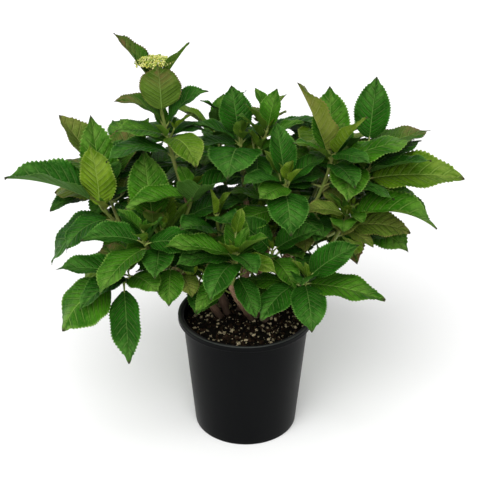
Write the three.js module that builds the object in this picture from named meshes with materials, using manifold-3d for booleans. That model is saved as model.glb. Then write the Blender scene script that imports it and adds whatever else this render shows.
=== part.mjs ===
// Mophead hydrangea shrub growing in its round nursery pot.
// Millimetres, +Z up. The origin is the centre of the pot's flat underside, and the front of the
// plant looks towards -Y. Bearings are degrees from +X towards +Y; rises are degrees above level.
//
// Woody canes leave the potting mix and bend towards the foliage that they carry. Each mass of
// foliage is one leafy twig, often with a second one branching from it. Leaves stand in pairs, each
// pair turned a right angle to the one above it, and a leaf that finds no room is swung aside or
// left out.
import * as THREE from 'three'
import Module from 'manifold-3d'
import { mergeVertices } from 'three/addons/utils/BufferGeometryUtils.js'

const wasm = await Module()
wasm.setup()

// Clearance between a solid and the neighbour that it rests on
const GAP = 0.3

// Two-gallon nursery pot
const POT_HEIGHT = 212
const POT_RIM_RADIUS = 114
const POT_RIM_BAND = 9
const POT_BODY_TOP_RADIUS = 105.8
const POT_FOOT_RADIUS = 87.4
const POT_WALL = 1.8
const POT_FLOOR = 2.6
const POT_EDGE = 1.2
const POT_FACETS = 48
const DRAIN_HOLES = 6
const DRAIN_RADIUS = 6
const DRAIN_RING_RADIUS = 62
const DRAIN_FACETS = 8
const MIX_LEVEL = 194

// Woody limbs and green twigs
const LIMB_FACETS = 7
const LIMB_STEPS = 4
const CANE_TIP_RADIUS = 4.6
const BOUGH_RADIUS = 4.4
const BOUGH_TIP_RADIUS = 4.1
const LIMB_BEND = 0.45
const SEAT_STEP = 0.1
const TWIG_FACETS = 4
const TWIG_STEPS = 4
const TWIG_RADIUS = 3.7
const SIDE_TWIG_RADIUS = 3.0
const TWIG_TIP_RADIUS = 1.9
const TWIG_SPREAD = 0.62
const TWIG_CLIMB = 0.38

// Leaf pairs, youngest first: distance from the twig's tip, share of the twig's leaf length, rise
// at the foot, bend down over the length, and how far the halves fold up
const PAIR_DISTANCES = [5, 18, 46, 84, 126]
const PAIR_SIZES = [0.42, 0.8, 1, 1, 0.92]
const PAIR_RISES = [66, 42, 20, 6, -4]
const PAIR_DROOPS = [14, 32, 46, 52, 50]
const PAIR_FOLDS = [28, 16, 8, 2, -4]
const SIZE_SPREAD = 0.08
const BEARING_SPREAD = 14
const RISE_SPREAD = 9
const DROOP_SPREAD = 12
const ROLL_SPREAD = 16
const FOLD_SPREAD = 6
const LEAF_RATIO = 0.58
const RATIO_SPREAD = 0.05

// Leaf blade: stations along the midrib, and the thickness of the midrib
const LONG_LEAF = 112
const LONG_STATIONS = [0.15, 0.37, 0.62, 0.84]
const SHORT_STATIONS = [0.18, 0.5, 0.8]
const MIDRIB_SAMPLES = 12
const MIDRIB_SHARE = 1 / 80
const MIDRIB_BASE = 0.5
const PETIOLE_SHARE = 0.1
const PETIOLE_BASE = 4
const PETIOLE_RADIUS = 1.7
const PETIOLE_MAX_RISE = 56
const PETIOLE_LIFT = 10

// Room between leaves: a blade is tested twice as thick as it is, and swung by these degrees
const ROOM_FACTOR = 2
const SWINGS = [0, 12, -12, 24, -24, 36, -36]
const LIFTS = [0, 10, -10, 20, -20]
const POT_ROOM = 5

// Young flower head on the tallest twig
const HEAD_RADIUS = 29
const HEAD_RISE = 12
const HEAD_THICKNESS = 9
const HEAD_SECTORS = 14
const HEAD_RAYS = 6

// Canes: where each leaves the mix, its radius there, and the mass that it ends at
const CANES = [
  { name: 'left_cane', foot: [-44, 14], radius: 6.4, carries: 'left_low_foliage' },
  { name: 'leader_cane', foot: [-32, 24], radius: 6.2, carries: 'leader_foliage' },
  { name: 'front_cane', foot: [10, 4], radius: 4.8, carries: 'front_low_foliage' },
  { name: 'crown_cane', foot: [8, 20], radius: 6.0, carries: 'top_centre_foliage' },
  { name: 'middle_cane', foot: [-10, 38], radius: 5.8, carries: 'top_left_foliage' },
  { name: 'right_cane', foot: [34, 6], radius: 6.4, carries: 'top_right_foliage' },
  { name: 'front_right_cane', foot: [22, 16], radius: 4.8, carries: 'low_right_foliage' },
  { name: 'back_left_cane', foot: [-32, 52], radius: 5.6, carries: 'back_left_foliage' },
  { name: 'back_cane', foot: [4, 62], radius: 5.6, carries: 'back_centre_foliage' },
  { name: 'back_right_cane', foot: [36, 50], radius: 5.6, carries: 'back_right_foliage' },
]

// Boughs: the cane that each leaves, how far up it, and the mass that it ends at
const BOUGHS = [
  { name: 'left_outer_bough', from: 'left_cane', at: 0.62, carries: 'left_outer_foliage' },
  { name: 'front_left_low_bough', from: 'left_cane', at: 0.42, carries: 'front_left_low_foliage' },
  { name: 'front_left_bough', from: 'leader_cane', at: 0.3, carries: 'front_left_foliage' },
  { name: 'left_side_bough', from: 'leader_cane', at: 0.36, carries: 'left_side_foliage' },
  { name: 'centre_bough', from: 'middle_cane', at: 0.42, carries: 'centre_foliage' },
  { name: 'centre_low_bough', from: 'crown_cane', at: 0.34, carries: 'centre_low_foliage' },
  { name: 'right_outer_bough', from: 'right_cane', at: 0.62, carries: 'right_outer_foliage' },
  { name: 'right_low_bough', from: 'right_cane', at: 0.4, carries: 'right_low_foliage' },
  { name: 'right_side_bough', from: 'right_cane', at: 0.3, carries: 'right_side_foliage' },
  { name: 'back_low_left_bough', from: 'back_left_cane', at: 0.4, carries: 'back_low_left_foliage' },
  { name: 'back_low_bough', from: 'back_cane', at: 0.4, carries: 'back_low_foliage' },
  { name: 'back_low_right_bough', from: 'back_right_cane', at: 0.4, carries: 'back_low_right_foliage' },
]

// Masses of foliage. Each has a foot, where its limb ends, and one or two twigs. A twig has a tip,
// a number of leaf pairs, the length of its largest leaf and the bearing of its youngest pair; a
// second twig leaves the first at a share of its length. Leaves with a habit of their own are named
// by their pair and side.
const MASSES = [
  {
    name: 'leader_foliage',
    foot: [-96, 0, 425],
    flowers: true,
    twigs: [
      {
        tip: [-139, 0, 630], pairs: 5, leaf: 100, bearing: 0, distances: [26, 68, 90, 112, 144],
        named: [
          { pair: 0, side: 0, bearing: 6, rise: 58, length: 80, droop: 8, fold: 20, petiole: 6, roll: -20, ratio: 0.66 },
          { pair: 0, side: 1, bearing: -180, rise: 57, length: 95, droop: 6, fold: 30, petiole: 10, roll: -14, ratio: 0.48 },
          { pair: 1, side: 0, bearing: -90, rise: 74, length: 92, droop: 20, fold: 12, ratio: 0.66 },
          { pair: 1, side: 1, bearing: 88, rise: 50, length: 80, droop: 60, fold: 12 },
          { pair: 2, side: 0, bearing: -10, rise: 68, length: 84, droop: 56, fold: 18, roll: 22 },
          { pair: 2, side: 1, bearing: -172, rise: 64, length: 84, droop: 75, fold: 18, roll: -8 },
          { pair: 3, side: 0, bearing: -52, rise: 24, length: 78, droop: 96, fold: 8, ratio: 0.7 },
          { pair: 4, side: 1, bearing: -158, rise: 40, length: 108, droop: 80, fold: 8 },
        ],
      },
    ],
  },
  {
    name: 'left_outer_foliage',
    foot: [-150, -30, 345],
    twigs: [
      {
        tip: [-236, -16, 424], pairs: 4, leaf: 120, bearing: 95, distances: [4, 12, 24, 44],
        named: [
          { pair: 1, side: 0, bearing: 180, rise: 32, length: 142, droop: 34, fold: 38 },
          { pair: 2, side: 1, bearing: -138, rise: 92, length: 106, droop: 16, fold: 4, petiole: 20, roll: 32, ratio: 0.52 },
          { pair: 2, side: 0, bearing: 112, rise: 72, length: 138, droop: 8, fold: 10, ratio: 0.42 },
          { pair: 3, side: 0, bearing: -150, rise: 14, length: 92, droop: 84, fold: 5 },
        ],
      },
      {
        from: 0.6, tip: [-232, 46, 440], pairs: 3, leaf: 118, bearing: 140,
        named: [
          { pair: 0, side: 0, bearing: 146, rise: 50, length: 112, droop: 12, fold: 25 },
          { pair: 1, side: 0, bearing: 62, rise: 62, length: 108, droop: 12, fold: 20 },
        ],
      },
    ],
  },
  {
    name: 'left_low_foliage',
    foot: [-112, -62, 320],
    twigs: [
      {
        tip: [-154, -108, 396], pairs: 3, leaf: 108, bearing: -170, distances: [4, 14, 34],
        named: [
          { pair: 0, side: 0, bearing: -172, rise: 24, length: 88, droop: 40, roll: -15 },
          { pair: 1, side: 0, bearing: -127, rise: 5, length: 106, droop: 50, roll: 10 },
          { pair: 2, side: 1, bearing: 20, rise: 24, length: 90, droop: 24 },
        ],
      },
      {
        from: 0.35, tip: [-200, -122, 332], pairs: 3, leaf: 100, bearing: -140, distances: [4, 14, 30],
        named: [
          { pair: 0, side: 0, bearing: -152, rise: -2, length: 106, droop: 72, fold: -14, roll: -12, ratio: 0.88 },
          { pair: 1, side: 0, bearing: -82, rise: -50, length: 112, droop: 20, roll: 30, ratio: 0.46 },
          { pair: 2, side: 0, bearing: -168, rise: 26, length: 108, droop: 30 },
        ],
      },
    ],
  },
  {
    name: 'front_left_foliage',
    foot: [-92, -40, 330],
    twigs: [
      {
        tip: [-146, -60, 402], pairs: 3, leaf: 116, bearing: 100, distances: [4, 14, 34],
        named: [
          { pair: 0, side: 0, bearing: 104, rise: 60, length: 108, droop: 10, fold: 5, ratio: 0.56 },
          { pair: 2, side: 0, bearing: -26, rise: 50, length: 88, droop: 24 },
        ],
      },
      {
        from: 0.5, tip: [-82, -44, 446], pairs: 3, leaf: 104, bearing: 30,
        named: [
          { pair: 0, side: 0, bearing: 30, rise: 25, length: 90, droop: 40 },
          { pair: 0, side: 1, bearing: -161, rise: 10, length: 96, droop: 30 },
        ],
      },
    ],
  },
  {
    name: 'front_left_low_foliage',
    foot: [-72, -58, 296],
    twigs: [
      {
        tip: [-118, -100, 352], pairs: 3, leaf: 70, bearing: -82, distances: [4, 14, 30],
        named: [{ pair: 0, side: 0, bearing: -90, rise: 0, length: 68, droop: 60, fold: -5 }],
      },
    ],
  },
  {
    name: 'front_low_foliage',
    foot: [-22, -62, 300],
    twigs: [
      {
        tip: [-14, -128, 386], pairs: 4, leaf: 92, bearing: -168, distances: [4, 12, 26, 56],
        named: [
          { pair: 0, side: 0, bearing: -31, rise: 50, length: 62, droop: 24 },
          { pair: 1, side: 0, bearing: -168, rise: 30, length: 106, droop: 34 },
          { pair: 1, side: 1, bearing: 90, rise: 66, length: 66, droop: 20 },
          { pair: 2, side: 0, bearing: -117, rise: 20, length: 84, droop: 80 },
          { pair: 3, side: 0, bearing: -138, rise: -5, length: 80, droop: 50 },
          { pair: 3, side: 1, bearing: -60, rise: -20, length: 72, droop: 40, ratio: 0.5 },
        ],
      },
    ],
  },
  {
    name: 'centre_foliage',
    foot: [-34, -18, 330],
    twigs: [{ tip: [-46, -58, 420], pairs: 3, leaf: 100, bearing: 20 }],
  },
  {
    name: 'top_left_foliage',
    foot: [0, 30, 400],
    twigs: [
      {
        tip: [-10, 42, 508], pairs: 4, leaf: 100, bearing: 100, distances: [4, 14, 30, 60],
        named: [
          { pair: 0, side: 0, bearing: 115, rise: 74, length: 76, droop: 8, fold: 8, ratio: 0.72 },
          { pair: 2, side: 0, bearing: -100, rise: 40, length: 118, droop: 84, fold: 0, ratio: 0.66 },
        ],
      },
      {
        from: 0.5, tip: [34, 44, 520], pairs: 3, leaf: 80, bearing: 90,
        named: [
          { pair: 0, side: 0, bearing: 60, rise: 70, length: 62, droop: 14 },
          { pair: 0, side: 1, bearing: -150, rise: 60, length: 60, droop: 12 },
        ],
      },
    ],
  },
  {
    name: 'top_centre_foliage',
    foot: [44, 0, 360],
    twigs: [
      {
        tip: [62, -32, 466], pairs: 4, leaf: 100, bearing: 109, distances: [4, 12, 24, 60],
        named: [
          { pair: 0, side: 0, bearing: 109, rise: 66, length: 84, droop: 14 },
          { pair: 1, side: 0, bearing: -143, rise: 30, length: 78, droop: 34 },
          { pair: 2, side: 0, bearing: -86, rise: 14, length: 100, droop: 66, fold: -4, ratio: 0.6 },
          { pair: 3, side: 0, bearing: -37, rise: 5, length: 80, droop: 50 },
        ],
      },
    ],
  },
  {
    name: 'top_right_foliage',
    foot: [96, 10, 380],
    twigs: [
      {
        tip: [136, 0, 496], pairs: 4, leaf: 104, bearing: 95, distances: [4, 12, 26, 60],
        named: [
          { pair: 0, side: 0, bearing: -161, rise: 70, length: 126, droop: 10, fold: 34, ratio: 0.5 },
          { pair: 0, side: 1, bearing: -44, rise: 68, length: 90, droop: 12 },
          { pair: 1, side: 0, bearing: 92, rise: 76, length: 104, droop: 6, fold: 12 },
          { pair: 1, side: 1, bearing: -147, rise: 44, length: 78, droop: 30 },
          { pair: 2, side: 0, bearing: 9, rise: 26, length: 128, droop: 24 },
        ],
      },
      {
        from: 0.5, tip: [198, 44, 496], pairs: 4, leaf: 108, bearing: 74,
        named: [
          { pair: 0, side: 0, bearing: 72, rise: 74, length: 98, droop: 6, fold: 8, ratio: 0.56 },
          { pair: 1, side: 0, bearing: 20, rise: 34, length: 108, droop: 10 },
        ],
      },
    ],
  },
  {
    name: 'right_outer_foliage',
    foot: [140, 14, 372],
    twigs: [
      {
        tip: [194, 24, 462], pairs: 4, leaf: 118, bearing: 74, distances: [4, 12, 24, 44],
        named: [
          { pair: 2, side: 0, bearing: -8, rise: 34, length: 146, droop: 22, fold: 20, roll: 18 },
          { pair: 1, side: 0, bearing: 24, rise: 54, length: 100, droop: 30 },
          { pair: 3, side: 1, bearing: 12, rise: 22, length: 100, droop: 40 },
        ],
      },
    ],
  },
  {
    name: 'right_low_foliage',
    foot: [120, -20, 330],
    twigs: [
      {
        tip: [158, -40, 410], pairs: 4, leaf: 98, bearing: -9, distances: [4, 14, 30, 46],
        named: [
          { pair: 0, side: 0, bearing: -70, rise: 30, length: 56, droop: 36 },
          { pair: 1, side: 0, bearing: -4, rise: 36, length: 140, droop: 68, fold: 26 },
          { pair: 2, side: 0, bearing: -44, rise: 10, length: 60, droop: 40 },
          { pair: 3, side: 0, bearing: 0, rise: 10, length: 70, droop: 30 },
        ],
      },
    ],
  },
  {
    name: 'low_right_foliage',
    foot: [58, -56, 290],
    twigs: [
      {
        tip: [96, -106, 332], pairs: 4, leaf: 88, bearing: -15, distances: [4, 14, 26, 44],
        named: [
          { pair: 2, side: 0, bearing: -15, rise: 4, length: 120, droop: 20 },
          { pair: 1, side: 0, bearing: -84, rise: 0, length: 86, droop: 66, fold: -6, ratio: 0.6 },
          { pair: 2, side: 1, bearing: -134, rise: 8, length: 88, droop: 60, fold: -4, ratio: 0.6 },
          { pair: 0, side: 0, bearing: 4, rise: 46, length: 86, droop: 24, roll: 50 },
          { pair: 3, side: 0, bearing: 172, rise: 16, length: 76, droop: 40 },
        ],
      },
    ],
  },
  {
    name: 'centre_low_foliage',
    foot: [26, -30, 296],
    twigs: [
      {
        tip: [42, -60, 358], pairs: 4, leaf: 92, bearing: -30,
        named: [
          { pair: 0, side: 0, bearing: -20, rise: 34, length: 82, droop: 24, roll: 40 },
          { pair: 0, side: 1, bearing: -160, rise: 54, length: 78, droop: 14, roll: -52, ratio: 0.68 },
          { pair: 1, side: 0, bearing: -62, rise: -4, length: 72, droop: 50 },
          { pair: 1, side: 1, bearing: -152, rise: 8, length: 88, droop: 40, roll: -20 },
        ],
      },
    ],
  },
  {
    name: 'back_left_foliage',
    foot: [-110, 60, 330],
    twigs: [
      { tip: [-190, 150, 440], pairs: 4, leaf: 125, bearing: 40 },
      { from: 0.5, tip: [-260, 90, 380], pairs: 3, leaf: 120, bearing: 150 },
    ],
  },
  {
    name: 'back_centre_foliage',
    foot: [-20, 70, 340],
    twigs: [
      { tip: [-50, 190, 470], pairs: 4, leaf: 125, bearing: 80 },
      { from: 0.5, tip: [40, 160, 500], pairs: 3, leaf: 115, bearing: 10 },
    ],
  },
  {
    name: 'back_right_foliage',
    foot: [90, 60, 340],
    twigs: [
      { tip: [150, 170, 455], pairs: 4, leaf: 125, bearing: 60 },
      { from: 0.5, tip: [230, 110, 420], pairs: 3, leaf: 125, bearing: 20 },
    ],
  },
  {
    name: 'back_low_left_foliage',
    foot: [-70, 76, 290],
    twigs: [{ tip: [-140, 210, 345], pairs: 4, leaf: 118, bearing: 100 }],
  },
  {
    name: 'back_low_foliage',
    foot: [14, 84, 290],
    twigs: [
      { tip: [40, 255, 370], pairs: 4, leaf: 118, bearing: 60 },
      { from: 0.25, tip: [-12, 96, 338], pairs: 2, leaf: 104, bearing: 0 },
    ],
  },
  {
    name: 'back_low_right_foliage',
    foot: [84, 72, 290],
    twigs: [{ tip: [190, 220, 350], pairs: 4, leaf: 112, bearing: 30 }],
  },
  {
    name: 'left_side_foliage',
    foot: [-104, 14, 312],
    twigs: [{ tip: [-240, 40, 340], pairs: 4, leaf: 115, bearing: 120 }],
  },
  {
    name: 'right_side_foliage',
    foot: [112, 26, 330],
    twigs: [{ tip: [236, 60, 396], pairs: 4, leaf: 110, bearing: 60 }],
  },
]

// Colours, as sRGB
const COLOURS = { pot: '#232527', mix: '#1d1712', cane: '#8a6a4c', bough: '#7f7345', foliage: '#2f6d24' }

const UP = new THREE.Vector3(0, 0, 1)
const radians = THREE.MathUtils.degToRad
const vector = (place) => new THREE.Vector3(...place)

// Even value in 0..1 for a row of whole numbers, always the same for the same row
function chance(twig, pair, side, channel) {
  const wave = Math.sin(twig * 12.9898 + pair * 78.233 + side * 37.719 + channel * 9.151) * 43758.5453
  return wave - Math.floor(wave)
}

// Unit vector at a bearing and a rise
function heading(bearing, rise) {
  const level = Math.cos(radians(rise))
  return new THREE.Vector3(
    level * Math.cos(radians(bearing)),
    level * Math.sin(radians(bearing)),
    Math.sin(radians(rise)),
  )
}

// Closed skin over a row of rings, with a flat start, and a flat end or a fan to one point.
// Points and index triples, each ring running anticlockwise about the direction of the row.
function skinOver(rings, tip) {
  const points = rings.flat()
  const faces = []
  const facets = rings[0].length
  const last = points.length - facets
  for (let ring = 0; ring + 1 < rings.length; ring += 1) {
    for (let side = 0; side < facets; side += 1) {
      const next = (side + 1) % facets
      const low = ring * facets
      const high = low + facets
      faces.push([low + side, low + next, high + next], [low + side, high + next, high + side])
    }
  }
  for (let side = 1; side + 1 < facets; side += 1) {
    faces.push([0, side + 1, side])
    if (!tip) faces.push([last, last + side, last + side + 1])
  }
  if (tip) {
    points.push(tip)
    for (let side = 0; side < facets; side += 1) {
      faces.push([last + side, last + ((side + 1) % facets), points.length - 1])
    }
  }
  return { points, faces }
}

// Closed tapering tube along a row of points, with flat ends square to its direction there, or to
// the directions given for them
function tube(path, radii, facets, startAlong, endAlong) {
  const across = path[path.length - 1].clone().sub(path[0]).normalize()
  const guide = Math.abs(across.x) < 0.8 ? new THREE.Vector3(1, 0, 0) : new THREE.Vector3(0, 1, 0)
  const rings = path.map((centre, index) => {
    const before = path[Math.max(index - 1, 0)]
    const after = path[Math.min(index + 1, path.length - 1)]
    const given = index === 0 ? startAlong : index === path.length - 1 ? endAlong : null
    const along = given ?? after.clone().sub(before).normalize()
    const first = new THREE.Vector3().crossVectors(along, guide).normalize()
    const second = new THREE.Vector3().crossVectors(along, first)
    return Array.from({ length: facets }, (_, side) => {
      const turn = (2 * Math.PI * side) / facets
      return centre
        .clone()
        .addScaledVector(first, radii[index] * Math.cos(turn))
        .addScaledVector(second, radii[index] * Math.sin(turn))
    })
  })
  return skinOver(rings)
}

// Half-width of a leaf at a share of its length, as a share of its greatest half-width:
// 2.33 s^0.55 (1 - s)^0.68
const outline = (share) => 2.33 * share ** 0.55 * (1 - share) ** 0.68

// Midrib of a leaf, with the direction across the blade and the one out of its upper face
function midrib(leaf) {
  const step = leaf.length / MIDRIB_SAMPLES
  const place = leaf.base.clone()
  const rows = []
  for (let index = 0; index <= MIDRIB_SAMPLES; index += 1) {
    const share = index / MIDRIB_SAMPLES
    const along = heading(leaf.bearing, leaf.rise - leaf.droop * share)
    const level = new THREE.Vector3(-Math.sin(radians(leaf.bearing)), Math.cos(radians(leaf.bearing)), 0)
    const upward = new THREE.Vector3().crossVectors(along, level)
    const across = level
      .multiplyScalar(Math.cos(radians(leaf.roll)))
      .addScaledVector(upward, Math.sin(radians(leaf.roll)))
    rows.push({ place: place.clone(), across, outward: new THREE.Vector3().crossVectors(along, across) })
    const middle = share + 0.5 / MIDRIB_SAMPLES
    place.addScaledVector(heading(leaf.bearing, leaf.rise - leaf.droop * middle), step)
  }
  return rows
}

// Four corners of a section: across to one side, out of the upper face, and back
function section(place, across, outward, half, top, bottom, raised) {
  return [
    place.clone().addScaledVector(across, half).addScaledVector(outward, raised),
    place.clone().addScaledVector(outward, top),
    place.clone().addScaledVector(across, -half).addScaledVector(outward, raised),
    place.clone().addScaledVector(outward, -bottom),
  ]
}

// Sections of a leaf. The stalk runs from the middle of the twig to the foot of the blade, and the
// blade is a lens, thick at the midrib and sharp at the margin.
function leafSections(leaf, fatness) {
  const rows = midrib(leaf)
  const fold = radians(leaf.fold)
  const thickness = (leaf.length * MIDRIB_SHARE + MIDRIB_BASE) * fatness
  const stations = leaf.length > LONG_LEAF ? LONG_STATIONS : SHORT_STATIONS
  const blade = stations.map((share) => {
    const index = Math.floor(share * MIDRIB_SAMPLES)
    const mix = share * MIDRIB_SAMPLES - index
    const place = rows[index].place.clone().lerp(rows[index + 1].place, mix)
    const across = rows[index].across.clone().lerp(rows[index + 1].across, mix).normalize()
    const outward = rows[index].outward.clone().lerp(rows[index + 1].outward, mix).normalize()
    const half = (leaf.length * leaf.ratio * outline(share)) / 2
    const raised = half * Math.sin(fold)
    return section(place, across, outward, half * Math.cos(fold), thickness * 0.6, thickness * 0.4, raised)
  })
  const along = leaf.base.clone().sub(leaf.node).normalize()
  const across = new THREE.Vector3().crossVectors(UP, along).normalize()
  const outward = new THREE.Vector3().crossVectors(along, across)
  const stalk = [[leaf.node, PETIOLE_RADIUS], [leaf.base, PETIOLE_RADIUS * 0.8]].map(
    ([place, radius]) => section(place, across, outward, radius, radius, radius, 0),
  )
  return { stalk, blade, tip: rows[MIDRIB_SAMPLES].place }
}

function wholeLeaf(leaf) {
  const { stalk, blade, tip } = leafSections(leaf, 1)
  return skinOver([...stalk, ...blade], tip)
}

// The triangles of a mesh, each with its bounds, for the tests of room
function soup(skin) {
  const triangles = skin.faces.map((face) => {
    const corners = face.map((index) => skin.points[index])
    return { corners, box: new THREE.Box3().setFromPoints(corners) }
  })
  return { triangles, box: new THREE.Box3().setFromPoints(skin.points) }
}

// Whether a straight edge passes through a triangle
const EDGE = new THREE.Vector3()
const SIDE_A = new THREE.Vector3()
const SIDE_B = new THREE.Vector3()
const NORMAL = new THREE.Vector3()
const OFFSET = new THREE.Vector3()
const SLANT = new THREE.Vector3()
function pierces(start, end, [a, b, c]) {
  EDGE.subVectors(end, start)
  SIDE_A.subVectors(b, a)
  SIDE_B.subVectors(c, a)
  NORMAL.crossVectors(EDGE, SIDE_B)
  const facing = NORMAL.dot(SIDE_A)
  if (Math.abs(facing) <= 1e-12) return false
  OFFSET.subVectors(start, a)
  const u = OFFSET.dot(NORMAL) / facing
  if (u < 0 || u > 1) return false
  SLANT.crossVectors(OFFSET, SIDE_A)
  const v = EDGE.dot(SLANT) / facing
  if (v < 0 || u + v > 1) return false
  const along = SIDE_B.dot(SLANT) / facing
  return along >= 0 && along <= 1
}

// Whether an edge of one mesh passes through a face of another
function edgesMeet(one, other) {
  for (const { corners, box } of one.triangles) {
    if (!box.intersectsBox(other.box)) continue
    for (const target of other.triangles) {
      if (!box.intersectsBox(target.box)) continue
      for (let corner = 0; corner < 3; corner += 1) {
        if (pierces(corners[corner], corners[(corner + 1) % 3], target.corners)) return true
      }
    }
  }
  return false
}

function meets(one, other) {
  return one.box.intersectsBox(other.box) && (edgesMeet(one, other) || edgesMeet(other, one))
}

// Points along a twig, which leaves its foot outwards and turns up to its tip
function twigPath(foot, tip) {
  const reach = tip.clone().sub(foot)
  const knee = foot.clone().add(reach.multiply(new THREE.Vector3(TWIG_SPREAD, TWIG_SPREAD, TWIG_CLIMB)))
  return new THREE.QuadraticBezierCurve3(foot, knee, tip).getPoints(TWIG_STEPS)
}

// Point at a distance back from the end of a row of points
function backFromTip(path, distance) {
  let left = distance
  for (let index = path.length - 1; index > 0; index -= 1) {
    const length = path[index].distanceTo(path[index - 1])
    if (left <= length) return path[index].clone().lerp(path[index - 1], left / length)
    left -= length
  }
  return null
}

const blend = (from, to, steps) =>
  Array.from({ length: steps + 1 }, (_, index) => from + ((to - from) * index) / steps)

// Twigs of every mass, in order
const twigs = []
for (const mass of MASSES) {
  let stem = null
  for (const row of mass.twigs) {
    const foot = stem ? stem[Math.round(row.from * TWIG_STEPS)] : vector(mass.foot)
    const path = twigPath(foot, vector(row.tip))
    const radius = stem ? SIDE_TWIG_RADIUS : TWIG_RADIUS
    const skin = tube(path, blend(radius, TWIG_TIP_RADIUS, TWIG_STEPS), TWIG_FACETS)
    twigs.push({ ...row, mass, path, skin, number: twigs.length + 1 })
    stem ??= path
  }
}

// Limbs: each ends a gap short of the mass that it carries, in line with its twig
function limb(start, mass, radius, tipRadius, startAlong) {
  const path = twigs.find((twig) => twig.mass.name === mass).path
  const onward = path[1].clone().sub(path[0]).normalize()
  const end = path[0].clone().addScaledVector(onward, -GAP)
  const knee = end.clone().addScaledVector(onward, -LIMB_BEND * start.distanceTo(end))
  const points = new THREE.QuadraticBezierCurve3(start, knee, end).getPoints(LIMB_STEPS)
  const radii = blend(radius, tipRadius, LIMB_STEPS)
  const outward = knee.clone().sub(start).normalize()
  return { points, radii, outward, skin: tube(points, radii, LIMB_FACETS, startAlong ?? outward, onward) }
}

// Canes start from a flat cut at the level of the mix
const limbs = new Map()
for (const { name, foot, radius, carries } of CANES) {
  const start = new THREE.Vector3(...foot, MIX_LEVEL + GAP)
  limbs.set(name, { ...limb(start, carries, radius, CANE_TIP_RADIUS, UP), colour: COLOURS.cane })
}

// Boughs leave the side of their cane: each slides back towards its middle until it would touch,
// and then stands a gap clear
for (const { name, from, at, carries } of BOUGHS) {
  const { points, radii, skin } = limbs.get(from)
  const index = Math.floor(at * LIMB_STEPS)
  const mix = at * LIMB_STEPS - index
  const onCane = points[index].clone().lerp(points[index + 1], mix)
  const caneRadius = THREE.MathUtils.lerp(radii[index], radii[index + 1], mix)
  const along = points[index + 1].clone().sub(points[index]).normalize()
  const { outward } = limb(onCane, carries, BOUGH_RADIUS, BOUGH_TIP_RADIUS)
  const slant = Math.abs(outward.dot(along))
  let clear = (caneRadius + BOUGH_RADIUS * slant) / Math.sqrt(1 - slant * slant)
  const boughAt = (distance) =>
    limb(onCane.clone().addScaledVector(outward, distance), carries, BOUGH_RADIUS, BOUGH_TIP_RADIUS)
  const caneShape = soup(skin)
  while (clear > 0 && !meets(soup(boughAt(clear - GAP - SEAT_STEP).skin), caneShape)) {
    clear -= SEAT_STEP
  }
  limbs.set(name, { ...boughAt(clear), colour: COLOURS.bough })
}

// One leaf by the rule, with its named habit on top
function leafOf(twig, pair, side) {
  const spread = (channel, amount) =>
    (chance(twig.number, pair + 1, side + 1, channel) * 2 - 1) * amount
  const habit = twig.named?.find((row) => row.pair === pair && row.side === side) ?? {}
  const leaf = {
    bearing: twig.bearing + 90 * pair + 180 * side + spread(2, BEARING_SPREAD),
    rise: PAIR_RISES[pair] + spread(3, RISE_SPREAD),
    length: twig.leaf * PAIR_SIZES[pair] * (1 + spread(1, SIZE_SPREAD)),
    droop: PAIR_DROOPS[pair] + spread(4, DROOP_SPREAD),
    roll: habit.length ? 0 : spread(5, ROLL_SPREAD),
    fold: PAIR_FOLDS[pair] + spread(6, FOLD_SPREAD),
    ratio: LEAF_RATIO + spread(7, RATIO_SPREAD),
    ...habit,
    node: backFromTip(twig.path, (twig.distances ?? PAIR_DISTANCES)[pair]),
    twig,
  }
  leaf.petiole ??= leaf.length * PETIOLE_SHARE + PETIOLE_BASE
  return leaf
}

// Solids that leaves keep clear of, to which each placed leaf is added. The pot is a closed drum
// a little wider and higher than its rim.
const drum = (radius, height) =>
  tube([new THREE.Vector3(0, 0, 0), new THREE.Vector3(0, 0, height)], [radius, radius], POT_FACETS / 2)
const taken = [{ shape: soup(drum(POT_RIM_RADIUS + POT_ROOM, POT_HEIGHT + POT_ROOM)) }]
for (const { skin } of limbs.values()) {
  taken.push({ shape: soup(skin) })
}
for (const twig of twigs) {
  taken.push({ shape: soup(twig.skin), twig })
}

// Places a leaf where it meets nothing, swinging and lifting it as far as allowed
function placeLeaf(leaf) {
  const { bearing, rise, node } = leaf
  for (const swing of SWINGS) {
    for (const lift of LIFTS) {
      leaf.bearing = bearing + swing
      leaf.rise = rise + lift
      const stalk = heading(leaf.bearing, Math.min(leaf.rise + PETIOLE_LIFT, PETIOLE_MAX_RISE))
      leaf.base = node.clone().addScaledVector(stalk, leaf.petiole)
      const { stalk: stalkRings, blade, tip } = leafSections(leaf, ROOM_FACTOR)
      const bladeShape = soup(skinOver([stalkRings[1], ...blade], tip))
      const stalkShape = soup(skinOver(stalkRings))
      const blocked = taken.some(
        ({ shape, twig }) => meets(bladeShape, shape) || (twig !== leaf.twig && meets(stalkShape, shape)),
      )
      if (!blocked) {
        taken.push({ shape: bladeShape }, { shape: stalkShape, twig: leaf.twig })
        return true
      }
    }
  }
  return false
}

// Leaves with a habit of their own take their places first
const wanted = []
for (const named of [true, false]) {
  for (const twig of twigs) {
    for (let pair = 0; pair < twig.pairs; pair += 1) {
      for (const side of [0, 1]) {
        const hasHabit = twig.named?.some((row) => row.pair === pair && row.side === side) ?? false
        if (hasHabit === named) wanted.push(leafOf(twig, pair, side))
      }
    }
  }
}
const leaves = wanted.filter((leaf) => leaf.node && placeLeaf(leaf))

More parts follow.
